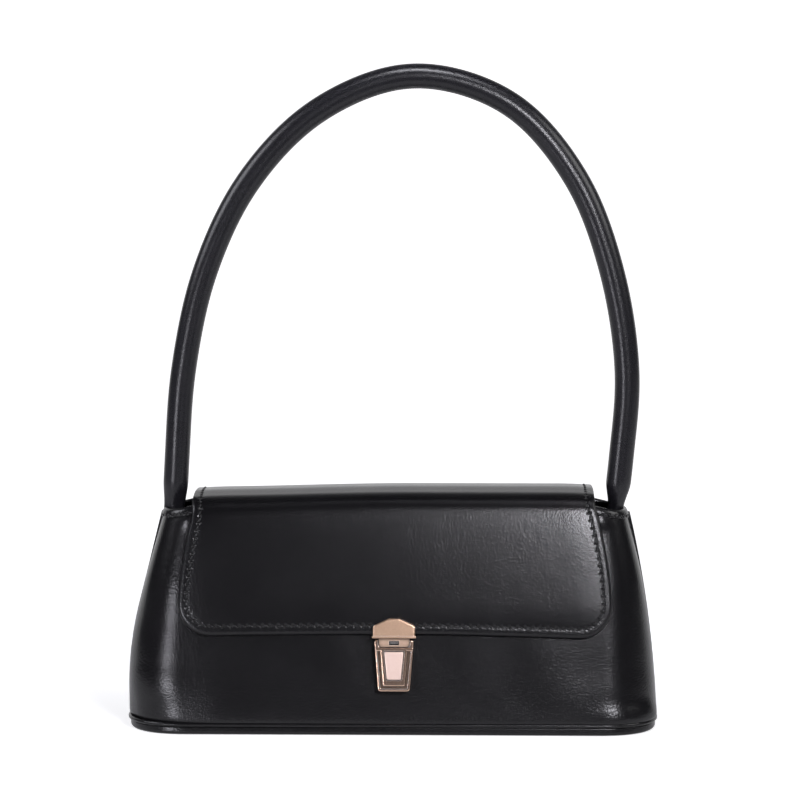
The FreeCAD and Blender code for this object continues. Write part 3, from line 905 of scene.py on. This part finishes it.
# Flap
# One stiffened leather piece: its tail is sewn flat to the back wall, it folds
# over the mouth and hangs down the front. Edges are turned, pressed to a round
# rim and stitched 4 mm in; a thin board inside lifts the middle a little.

lean = math.atan2(base_half_depth - mouth_half_depth, body_height)
flap_end = 49.5 * mm
flap_top = 115.4 * mm
flap_crown = 0.5 * mm
flap_gap = 1.4 * mm
flap_half_top = 97.8 * mm
flap_half_bottom = 106.2 * mm
flap_corner = 16.0 * mm
tail_corner = 6.0 * mm
tail_foot = 88.0 * mm
tail_top = 104.5 * mm
tail_gap = 0.1 * mm
tail_lift = 108.0 * mm
# Radius at each corner of the line that the flap follows from its tail to its lower edge.
flap_bends = np.array([0, 3, 3, 9, 120, 8, 0]) * mm
flap_step = 0.25 * mm
crease_spare = 0.02 * mm


def wall_place(up, out, side):
    """Point of the middle plane from a level up a wall and a distance out of it."""
    y = side * (base_half_depth - up * math.sin(lean) + out * math.cos(lean))
    return np.array([y, up * math.cos(lean) + out * math.sin(lean)])


def rounded_path(corners, radii, step):
    """Close-set points along a path of straight runs and arcs, and the length covered at each."""
    points = [corners[0]]
    for index in range(1, len(corners) - 1):
        here, radius = corners[index], radii[index]
        before = (corners[index - 1] - here) / np.linalg.norm(corners[index - 1] - here)
        after = (corners[index + 1] - here) / np.linalg.norm(corners[index + 1] - here)
        half = math.acos(np.clip(before @ after, -1, 1)) / 2
        reach = radius / math.tan(half)
        centre = here + (before + after) / np.linalg.norm(before + after) * radius / math.sin(half)
        start, stop = here + before * reach - centre, here + after * reach - centre
        sweep = math.pi - 2 * half
        for share in np.linspace(0, 1, 15):
            blend = math.sin((1 - share) * sweep) * start + math.sin(share * sweep) * stop
            points.append(centre + blend / math.sin(sweep))
    points.append(corners[-1])
    points = np.array(points)
    run = run_along(points)
    places = np.linspace(0, run[-1], int(run[-1] / step))
    return at_run(points, run, places), places


top_front = wall_place((flap_top - flap_gap * math.sin(lean)) / math.cos(lean), flap_gap, -1)
flap_corners = [
    wall_place(tail_foot, tail_gap, 1),
    wall_place(tail_top, tail_gap, 1),
    wall_place(tail_lift, flap_gap, 1),
    top_front * np.array([-1, 1]),
    np.array([0.0, flap_top + flap_crown]),
    top_front,
    wall_place(flap_end, flap_gap, -1),
]
flap_path, flap_run = rounded_path(flap_corners, flap_bends, flap_step)
flap_length = flap_run[-1]
path_ahead = np.gradient(flap_path, axis=0)
path_ahead /= np.linalg.norm(path_ahead, axis=1)[:, None]
path_out = np.stack([path_ahead[:, 1], -path_ahead[:, 0]], axis=-1)
crease_run = float(flap_run[np.argmax(flap_path[:, 0] < top_front[0] + crease_spare)])
middle_run = float(np.interp(0.0, -flap_path[:, 0], flap_run))

flare_end_share = 0.8
flare_power = 1.7
puff_height = 0.4 * mm
puff_power = 0.75
puff_edge_share = 0.45
stand_off_height = 1.4 * mm
stand_off_share = 0.65
crease_press = 0.3 * mm
press_start, press_length = 3.0 * mm, 6.0 * mm
lift_end = crease_run - 4 * mm
level_half = 12.0 * mm
corner_drops = (1.3 * mm, 2.4 * mm)
flap_slump = 2.0 * mm
slump_start = -10.0 * mm
slump_levels = (105.0 * mm, 113.0 * mm)
left_spread = 2.3 * mm
left_narrowing = 0.5 * mm
spread_start = 20.0 * mm
spread_runs = (18.0 * mm, 32.0 * mm, crease_run - 4 * mm, crease_run + 9 * mm)


def flap_half(run):
    """Half the flap's width, which flares from the crease to the lower edge."""
    hang = np.clip((run - crease_run) / (flap_length - crease_run), 0, flare_end_share)
    return between(flap_half_top, flap_half_bottom, 1 - (1 - hang / flare_end_share) ** flare_power)


def flap_place(x, run, out):
    """Point of the flap from its place on the flat pattern and its height over the underside."""
    y, z = (np.interp(run, flap_run, column) for column in flap_path.T)
    out_y, out_z = (np.interp(run, flap_run, column) for column in path_out.T)
    hang = np.clip((run - crease_run) / (flap_length - crease_run), 0, 1)
    flatter = 1 - puff_edge_share * (x / flap_half_bottom) ** 6
    puff = puff_height * np.sin(hang**puff_power * math.pi) * flatter
    stand_off = stand_off_height * (hang - stand_off_share)
    press = crease_press * (1 - np.tanh((run - crease_run - press_start) / press_length))
    lift = out + puff + (stand_off - press) * ease(run, middle_run, lift_end)
    aside = np.clip((np.abs(x) - level_half) / (flap_half_bottom - level_half), 0, 1)
    drop = np.where(x < 0, *corner_drops) * aside**1.5 * hang**2
    slump = flap_slump * ease(-x, slump_start, flap_half_top) * ease(z, *slump_levels)
    spread = left_spread * rise_and_fall(run, *spread_runs) - left_narrowing
    spread = spread * ease(-x, spread_start, flap_half_top)
    y = y + out_y * lift + drop * math.sin(lean) * np.sign(y)
    return np.stack([x - spread, y, z + out_z * lift - drop * math.cos(lean) - slump], axis=-1)


# Distance in from the edge, height of the leather's face there and of its underside.
rim_profile = np.array(
    [(0, 0.9, 0.7), (0.12, 1.4, 0.3), (0.35, 1.85, 0.1), (0.7, 2.15, 0), (1.2, 2.3, 0), (2.0, 2.38, 0)]
    + [(2.8, 2.4, 0.05), (3.4, 2.38, 0.1), (3.8, 2.34, 0.15), (4.2, 2.32, 0.18), (4.6, 2.36, 0.15)]
    + [(5.0, 2.41, 0.1), (5.6, 2.46, 0.05), (6.3, 2.5, 0), (7.0, 2.54, 0), (7.7, 2.57, 0), (8.6, 2.61, 0)]
    + [(10, 2.66, 0), (12, 2.72, 0), (14, 2.76, 0), (16, 2.78, 0)]
) * mm
rim_steps, rim_heights, rim_under = rim_profile.T
rim_width = 16 * mm
rim_wear = 0.6
rim_wear_width = 1.1 * mm
tail_rim = 6.4 * mm
row_step = 1.5 * mm
row_end = 17 * mm
inner_columns = 34
hair = 1e-9


def turned_corner(aside, along, radius):
    """Bends a square corner of the pattern round; returns both distances and the distance from the edge."""
    near = np.minimum(aside, along)
    inside = (aside < radius) & (along < radius)
    reach = np.maximum(radius - near, hair)
    share = np.where(aside <= along, (radius - along) / (2 * reach), 1 - (radius - aside) / (2 * reach))
    turn = share * math.pi / 2
    return (
        np.where(inside, radius - reach * np.cos(turn), aside),
        np.where(inside, radius - reach * np.sin(turn), along),
        near,
    )


def flap_grid(first, last, heights):
    """Points of the flap between two places along its length, with the edge's profile, and their wear."""
    aside = np.concatenate([rim_steps, np.linspace(rim_width, flap_half_top, inner_columns)[1:]])
    tail_steps = rim_steps[rim_steps <= tail_rim]
    body_rows = np.arange(tail_steps[-1] + row_step, flap_length - row_end, row_step)
    runs = np.concatenate([tail_steps, body_rows, flap_length - rim_steps[::-1]])
    runs = np.unique(np.concatenate([runs[(runs >= first) & (runs <= last)], [first, last]]))
    run, aside = np.meshgrid(runs, aside, indexing="ij")
    low_aside, low_along, low_near = turned_corner(aside, flap_length - run, flap_corner)
    tail_aside, tail_along, tail_near = turned_corner(aside, run, tail_corner)
    near_tail = run < tail_corner
    run = np.where(near_tail, tail_along, flap_length - low_along)
    aside = np.where(near_tail, tail_aside, low_aside)
    near = np.minimum(low_near, tail_near)
    out = np.interp(near, rim_steps, heights)
    half = flap_half(run)
    wider = aside * np.where(aside > rim_width, half / flap_half_top, 1.0)
    reach = np.where(aside >= flap_half_top - hair, half, wider)
    right = flap_place(half - reach, run, out)
    left = flap_place(reach - half, run, out)
    rubbed_and_highlit = swell(near, rim_wear_width) * rim_wear
    points = np.concatenate([left, right[:, -2::-1]], axis=1)
    return points, np.concatenate([rubbed_and_highlit, rubbed_and_highlit[:, -2::-1]], axis=1)


# Each leaf's fold: the two bodies that it joins, and where the bend starts and ends.
back_fold = ("bag", "flap_top", (0.0, 0.0235, 0.104), (0.0, 0.004, 0.1175))
front_crease = ("flap_top", "flap_front", (0.0, -0.0208, 0.1085), (0.0, -0.0228, 0.1025))
# The leaves butt over the middle of the mouth, where their cut edges stay sharp.
butt_width = 0.01 * mm
leaves = []
for name, span, fold, covered in (
    ("flap_back", (0.0, middle_run), back_fold, ("flap_strip", "flap_top_leather")),
    ("flap_front", (middle_run, flap_length), front_crease, ("flap_front_leather",)),
):
    outer, rubbed_and_highlit = flap_grid(*span, rim_heights)
    under, _ = flap_grid(*span, rim_under)
    leaf = shell(name + "_skin", outer, under, black_leather, rubbed_and_highlit)
    leaves.append(leaf)
    for edge in leaf.data.edges:
        if all(abs(leaf.data.vertices[corner].co.y) < butt_width for corner in edge.vertices):
            edge.use_edge_sharp = True
    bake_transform(leaf)
    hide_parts(*covered)

flap_stitch_margin = 4.2 * mm
flap_stitch_lift = 0.05 * mm


def flap_stitch_run(tail):
    """Row of stitches round the flap's tail, or round its front, from one side of its top to the other."""
    margin = flap_stitch_margin
    turn = np.linspace(0, math.pi / 2, 40)[1:, None]
    tail_x, low_x = flap_half_top - tail_corner, flap_half_bottom - flap_corner
    low_run = flap_length - flap_corner
    foot = np.stack([np.linspace(0, tail_x, 120), np.full(120, margin)], axis=-1)
    bend = (tail_x, tail_corner) + (tail_corner - margin) * np.hstack([np.sin(turn), -np.cos(turn)])
    runs = np.linspace(tail_corner, low_run, 700)[1:]
    straight = np.stack([flap_half(runs) - margin, runs], axis=-1)
    low = (low_x, low_run) + (flap_corner - margin) * np.hstack([np.cos(turn), np.sin(turn)])
    edge = np.stack([np.linspace(low_x, 0, 240)[1:], np.full(239, flap_length - margin)], axis=-1)
    right = np.concatenate([foot, bend, straight, low, edge])
    right = right[(right[:, 1] <= middle_run) == tail]
    left = right * np.array([-1, 1])
    spots = np.concatenate([left[::-1], right[1:]]) if tail else np.concatenate([right, left[::-1][1:]])
    height = float(np.interp(margin, rim_steps, rim_heights)) + flap_stitch_lift
    path = flap_place(spots[:, 0], spots[:, 1], height)
    return path, flap_place(spots[:, 0], spots[:, 1], height + 1 * mm) - path


for leaf, name, fold in zip(leaves, ("tail_stitches", "flap_stitches"), (back_fold, front_crease)):
    run = flap_stitch_run(name == "tail_stitches")
    mark_stitches(leaf, [run])
    row = stitches(name, [run])
    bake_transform(row)

lining_margin = 6.0 * mm
flap_lining_start = 34 * mm
flap_lining_heights = (0.05 * mm, -0.35 * mm)
flap_ripple = 0.12 * mm
# Radians over half the width, and radians per metre.
ripple_turns_across, ripple_turns_down = 9, 60


def flap_lining_grid(first, last, out):
    """Points of one face of the cloth under the flap, cut round at its lower corners."""
    runs = np.arange(first, last + hair, row_step)
    runs[-1] = last
    run, share = np.meshgrid(runs, np.linspace(-1, 1, 61), indexing="ij")
    left_over = flap_length - lining_margin - run
    corner = flap_corner - lining_margin
    arc = np.sqrt(np.clip(corner**2 - (corner - left_over) ** 2, 0, None))
    half = flap_half(run) - lining_margin - np.where(left_over < corner, corner - arc, 0)
    ripple = flap_ripple * np.sin(share * ripple_turns_across + run * ripple_turns_down)
    return flap_place(share * half, run, out + ripple)


for name, span, fold, skin_name in (
    ("flap_top", (flap_lining_start, middle_run), back_fold, "flap_back_skin"),
    ("flap_front", (middle_run, flap_length - lining_margin), front_crease, "flap_front_skin"),
):
    upper, lower = (flap_lining_grid(*span, height) for height in flap_lining_heights)
    lining = shell(name + "_cloth", upper, lower, twill)
    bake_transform(lining)
    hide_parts(name + "_lining")
cad["flap_board"].material_slots[0].material = board


# Handle
# A strip of leather rolled round a cord and glued into a springy arch; both
# ends are pinched flat and held in leather tabs between the hems at the end seams.

pivot_height = 118.0 * mm
pivot_reach = 109.0 * mm
handle_tilt = math.radians(4.2)
handle_rise = 203.0 * mm
handle_tail = 16 * mm
handle_lean_out = 0.9 * mm
# Places along the arch from right to left, as shares of its width and its rise.
handle_shares = (
    [(0.505, 0.11), (0.503, 0.323), (0.451, 0.561), (0.353, 0.781), (0.19, 0.949), (-0.03, 0.997)]
    + [(-0.235, 0.898), (-0.382, 0.713), (-0.466, 0.486), (-0.499, 0.245), (-0.5, 0.03)]
)
handle_smoothing = 40
handle_radius = 6.2 * mm
handle_sides = 40
pinch_level = 108.0 * mm
pinch_height = 13.0 * mm
pinch_wide_shares = (0.16, 0.36)
pinch_deep_share = 0.25
roll_groove_depth = 0.30 * mm
roll_groove_angle = 0.09
# Angle round the roll of each crease in a pinched end, and its depth.
pinch_folds = ((0.9, 0.5 * mm), (2.3, 0.5 * mm), (4.2, 0.6 * mm), (5.4, 0.5 * mm))
pinch_fold_angle = 0.33


def handle_line(count):
    """Middle line of the arch, from inside the right end of the bag over the crown to inside the left end."""
    half = pivot_reach * math.cos(handle_tilt)
    shift = pivot_reach * math.sin(handle_tilt)
    tail, lean_out = handle_tail, handle_lean_out
    spots = [(half, shift - 2 * tail), (half + lean_out / 2, shift - tail), (half + lean_out, shift)]
    spots += [(2 * pivot_reach * across, handle_rise * up) for across, up in handle_shares]
    spots += [(-half, -shift), (-half, -shift - tail), (-half, -shift - 2 * tail)]
    spots = np.array(spots)
    line = []
    for first, second, third, fourth in zip(spots, spots[1:], spots[2:], spots[3:]):
        for share in np.linspace(0, 1, 40, endpoint=False):
            straight = 2 * second + (third - first) * share
            bend = (2 * first - 5 * second + 4 * third - fourth) * share**2
            twist = (3 * second - first - 3 * third + fourth) * share**3
            line.append((straight + bend + twist) / 2)
    line = np.array(line)
    run = run_along(line)
    flat = at_run(line, run, np.linspace(0, run[-1], count))
    for _ in range(handle_smoothing):
        flat[1:-1] = (flat[:-2] + 2 * flat[1:-1] + flat[2:]) / 4
    cosine, sine = math.cos(handle_tilt), math.sin(handle_tilt)
    x = flat[:, 0] * cosine + flat[:, 1] * sine
    z = pivot_height - flat[:, 0] * sine + flat[:, 1] * cosine
    return np.stack([x, 0 * x, z], axis=-1)


def handle_rings():
    """Round rings along the arch, grooved where the roll closes and creased where the ends are pinched."""
    path = handle_line(420)
    ahead = np.gradient(path, axis=0)
    ahead /= np.linalg.norm(ahead, axis=1)[:, None]
    side = np.array([0.0, 1.0, 0.0])
    out = np.cross(side, ahead)
    pinch = 1 - ease(path[:, 2], pinch_level, pinch_level + pinch_height)
    wide = handle_radius * (1 - np.where(path[:, 0] < 0, *pinch_wide_shares) * pinch)
    deep = handle_radius * (1 - pinch_deep_share * pinch)
    rings = []
    for turn in np.linspace(0, 2 * math.pi, handle_sides, endpoint=False):
        hollow = roll_groove_depth * swell(turn - math.pi, roll_groove_angle)
        for spot, size in pinch_folds:
            away = (turn - spot + math.pi) % (2 * math.pi) - math.pi
            hollow = hollow + size * swell(away, pinch_fold_angle) * pinch**1.5
        across = (wide - hollow) * math.cos(turn)
        through = (deep - hollow) * math.sin(turn)
        rings.append(path + across[:, None] * out + through[:, None] * side)
    return np.stack(rings, axis=1)


# The handle's leather takes a paler, bluer colour than the body's: painted light for the brighter tone the
# handle shows under the studio's light. Its finer grain and slightly rougher finish are its own.
handle_grain = 0.6 * mm
handle_leather = leather(
    "handle_leather", (0.008, 0.0078, 0.0098), (0.016, 0.0155, 0.019), 0.25, handle_grain, 0.3
)
handle = tube("handle_roll", handle_rings(), handle_leather)
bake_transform(handle)
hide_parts("handle_cover")

core_ply_length = 4 * mm
core, core_tree, core_shader = surface("cord_core")
core_ply = ribs(core_tree, core_ply_length, 2.0, 2.0)
feed(core_shader, "Base Color", mix_colours(core_tree, core_ply, (0.28, 0.25, 0.2), (0.46, 0.42, 0.35)))
core_shader.inputs["Roughness"].default_value = 0.9
cad["handle_core"].material_slots[0].material = core

tab_squareness = 0.55
tab_foot_shares = (0.6, 0.82)
tab_top_share = 0.25


def tab_rings(low, high):
    """Rounded square rings of a tab, narrowed at its foot and at its top."""
    middle_x, middle_y = (low.x + high.x) / 2, (low.y + high.y) / 2
    turns = np.linspace(0, 2 * math.pi, 28, endpoint=False)
    round_x = np.sign(np.cos(turns)) * np.abs(np.cos(turns)) ** tab_squareness
    round_y = np.sign(np.sin(turns)) * np.abs(np.sin(turns)) ** tab_squareness
    rings = []
    for level in np.linspace(0, 1, 16):
        narrowed = 1 - tab_top_share * level**6
        thick = (high.x - middle_x) * narrowed * between(tab_foot_shares[0], 1.0, min(1.0, level * 6))
        deep = (high.y - middle_y) * between(tab_foot_shares[1], 1.0, min(1.0, level * 8))
        z = np.full_like(turns, between(low.z, high.z, level))
        rings.append(np.stack([round_x * thick + middle_x, round_y * deep + middle_y, z], axis=-1))
    return np.array(rings)


for name in ("left", "right"):
    tab = tube(name + "_tab", tab_rings(*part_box("handle_tab_" + name)), black_leather)
    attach(tab, "bag")
    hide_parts("handle_tab_" + name)


# Tuck lock
# Small die-cast lock plated in rose gold: a hasp with a cap and a tongue on the
# flap, a framed plate on the wall, a push button with a steel catch and spring.

casting_wave = 3.0 * mm
casting_height = 0.4 * mm
plating_haze = 0.8 * mm
recess_reach = 2.5 * mm
edge_round = 0.35 * mm
# The shares below paint shade into the recesses and a highlight onto the open edges.
recess_shade_share = 0.1
edge_highlight_share = 0.65
edge_highlight_metal_share = 0.3


def plated(name, colour, shade, roughness, metal=1.0):
    """Polished plating: soft waves from casting, a fine haze, painted shade darkening its recesses and a
    painted highlight making its open edges paler and less metallic.
    """
    material, tree, shader = surface(name)
    cast = clouds(tree, casting_wave, 2.0)
    haze = clouds(tree, plating_haze, 4.0)
    # Ambient occlusion finds the recesses, which the colour below darkens with painted shade.
    corner = node(tree, "ShaderNodeAmbientOcclusion", {"Distance": recess_reach}, samples=8).outputs["AO"]
    open_share = ramp(tree, corner, 0.0, 1.0, 0.35, 0.9)
    # The bevelled normal rounds the edges in the shading; where it parts from the face's own normal, on open
    # edges, the colour below paints a highlight.
    rounded = node(tree, "ShaderNodeBevel", {"Radius": edge_round}, samples=8).outputs["Normal"]
    flat = node(tree, "ShaderNodeNewGeometry").outputs["True Normal"]
    normals = {0: rounded, 1: flat}
    agree = node(tree, "ShaderNodeVectorMath", normals, operation="DOT_PRODUCT").outputs["Value"]
    edge = ramp(tree, agree, 0.0, 1.0, 0.995, 0.93)
    rubbed_and_highlit = reckon(tree, "MULTIPLY", edge, open_share)
    unshaded_colour = mix_colours(tree, haze, colour, shade)
    # Painted shade: the recesses darken to a tenth of the darker tint.
    shaded_recess_colour = tuple(recess_shade_share * channel for channel in shade)
    worn_and_shaded = mix_colours(tree, open_share, shaded_recess_colour, unshaded_colour)
    # Painted highlight: open edges turn paler and less metallic.
    edge_highlight_colour = tuple(between(channel, 1.0, edge_highlight_share) for channel in colour)
    feed(shader, "Base Color", mix_colours(tree, rubbed_and_highlit, worn_and_shaded, edge_highlight_colour))
    feed(shader, "Metallic", ramp(tree, rubbed_and_highlit, metal, edge_highlight_metal_share * metal))
    feed(shader, "Roughness", ramp(tree, haze, roughness, roughness + 0.12))
    feed(shader, "Normal", relief(tree, cast, 0.12, casting_height, rounded))
    return material


def satin(name, colour, shade):
    """Satin plating under a clear film."""
    material = plated(name, colour, shade, 0.3, 0.55)
    shader = material.node_tree.nodes["Principled BSDF"]
    shader.inputs["Coat Weight"].default_value = 0.3
    shader.inputs["Coat Roughness"].default_value = 0.1
    return material


rose_gold = plated("rose_gold", (0.84, 0.6, 0.46), (0.72, 0.49, 0.36), 0.14)
brushed_gold = plated("brushed_gold", (0.76, 0.52, 0.36), (0.62, 0.41, 0.28), 0.26)
satin_gold = satin("satin_gold", (0.66, 0.47, 0.35), (0.56, 0.39, 0.28))
steel = plated("dull_steel", (0.2, 0.19, 0.18), (0.13, 0.125, 0.12), 0.35)
pale_gold = satin("pale_gold", (0.92, 0.71, 0.62), (0.86, 0.64, 0.55))
for finish, names in (
    (rose_gold, ("hasp_posts", "lock_body", "lock_base")),
    (satin_gold, ("hasp_tongue",)),
    (brushed_gold, ("hasp_cap",)),
    (pale_gold, ("lock_button",)),
    (steel, ("hasp_plate", "lock_back_plate", "lock_rivets", "lock_catch", "lock_spring")),
):
    for name in names:
        cad[name].material_slots[0].material = finish


# Studio
# The bag stands on white paper that sweeps up behind it. A small key light is on
# the camera's right and a low one on its left, large soft boxes light both sides,
# and two weak lamps overhead pick out the flap's crease and the handle's crown.

paper_half_width = 3.0
paper_drop = 0.2 * mm
paper_line = (
    [(-0.4, 0.0), (0.0, 0.0), (0.5, 0.0), (1.4, 0.0), (1.75, 0.06), (2.0, 0.25)]
    + [(2.1, 0.6), (2.1, 2.4), (1.9, 3.0), (1.5, 3.35), (0.9, 3.5)]
)


def paper_sweep():
    """Sheet of paper from the front of the floor to over the bag."""
    points = []
    for y, z in paper_line:
        points += [(-paper_half_width, y, z - paper_drop), (paper_half_width, y, z - paper_drop)]
    mesh = bpy.data.meshes.new("paper")
    mesh.from_pydata(points, [], grid_faces(len(paper_line), 2))
    mesh.shade_smooth()
    made = bpy.data.objects.new("paper", mesh)
    bpy.context.scene.collection.objects.link(made)
    return made


paper = paper_sweep()
paper_material, paper_tree, paper_shader = surface("white_paper")
paper_shader.inputs["Base Color"].default_value = (0.82, 0.82, 0.83, 1.0)
paper_shader.inputs["Roughness"].default_value = 0.9
paper_shader.inputs["Specular IOR Level"].default_value = 0.1

# In the picture the paper glows to white with distance, and it is dimmer in what the bag reflects.
ray = node(paper_tree, "ShaderNodeLightPath").outputs
mirrored = reckon(paper_tree, "MAXIMUM", ray["Is Glossy Ray"], ray["Is Transmission Ray"])
paper_axes = node(paper_tree, "ShaderNodeSeparateXYZ", {"Vector": own_place(paper_tree)}).outputs
upward = ramp(paper_tree, paper_axes["Z"], 0.75, 0.06, 0.3, 3.4, interpolation_type="SMOOTHSTEP")
backward = ramp(paper_tree, paper_axes["Y"], 0.2, 1.0, -0.1, 1.0)
fading = reckon(paper_tree, "MULTIPLY", upward, backward)
reflected = reckon(paper_tree, "MULTIPLY", mirrored, fading)
distant = ramp(paper_tree, paper_axes["Y"], 0.65, 1.0, 0.1, 0.8)
pictured = reckon(paper_tree, "MULTIPLY", ray["Is Camera Ray"], distant)
glow_strength = reckon(paper_tree, "MAXIMUM", pictured, reflected)
glow = node(paper_tree, "ShaderNodeEmission", {"Strength": glow_strength})
both = node(paper_tree, "ShaderNodeAddShader", {0: paper_shader.outputs[0], 1: glow.outputs[0]})
feed(paper_tree.nodes["Material Output"], "Surface", both.outputs[0])
paper.data.materials.append(paper_material)

world = bpy.data.worlds.new("studio")
world.use_nodes = True
bpy.context.scene.world = world
room = world.node_tree
room_ray = node(room, "ShaderNodeLightPath").outputs
room.nodes["Background"].inputs["Color"].default_value = (0.9, 0.9, 1.0, 1.0)
feed(room.nodes["Background"], "Strength", ramp(room, room_ray["Is Camera Ray"], 0.06, 1.0))

bag_middle = (0.0, 0.0, 0.12)
handle_crown = (0.0, 0.0, 0.327)


def box_light(name, place, aim, width, height, power, colour=(1.0, 1.0, 1.0)):
    """Oblong soft lamp, turned to what it lights."""
    lamp = bpy.data.lights.new(name, "AREA")
    lamp.shape = "RECTANGLE"
    lamp.size, lamp.size_y = width, height
    lamp.energy = power
    lamp.color = colour
    made = bpy.data.objects.new(name, lamp)
    made.location = place
    made.rotation_euler = (Vector(aim) - Vector(place)).to_track_quat("-Z", "Y").to_euler()
    bpy.context.scene.collection.objects.link(made)
    return made


def round_place(azimuth, elevation, reach):
    """Place seen from the bag's middle, at an angle to the right of its front and an angle up."""
    turn, rise = math.radians(azimuth), math.radians(elevation)
    flat = reach * math.cos(rise)
    return (flat * math.sin(turn), -flat * math.cos(turn), bag_middle[2] + reach * math.sin(rise))


cool_white = (0.95, 0.94, 1.0)
faint_violet = (0.93, 0.92, 1.0)
faint_blue = (0.93, 0.93, 1.0)
box_light("key", round_place(17, 19, 1.0), bag_middle, 0.18, 0.18, 5.2, cool_white)
box_light("left_front", round_place(-31, -2, 1.0), bag_middle, 0.18, 0.1, 1.9, faint_violet)
box_light("left_side", round_place(-72, 32, 1.1), bag_middle, 0.5, 0.5, 5.0, faint_blue)
box_light("right_side", round_place(72, 32, 1.1), bag_middle, 0.5, 0.5, 3.5)
box_light("overhead", round_place(28, 58, 1.2), bag_middle, 0.3, 0.3, 0.7, cool_white)
handle_lamp_place = (0.0, -0.16, 0.583)
handle_lamp = box_light("handle_lamp", handle_lamp_place, handle_crown, 0.3, 0.06, 0.055, faint_blue)
handle_lamp_spread = math.radians(29)
handle_lamp.data.spread = handle_lamp_spread

camera = bpy.data.cameras.new("camera")
camera.sensor_width = 36.0
camera.lens = 136.35
camera.clip_end = 20.0
viewer = bpy.data.objects.new("camera", camera)
aim = Vector((0.0022, 0.0, 0.161))
viewer.location = (0.0334, -1.4897, 0.300)
viewer.rotation_euler = (aim - Vector(viewer.location)).to_track_quat("-Z", "Y").to_euler()
bpy.context.scene.collection.objects.link(viewer)
bpy.context.scene.camera = viewer
bpy.context.scene.view_settings.view_transform = "Standard"
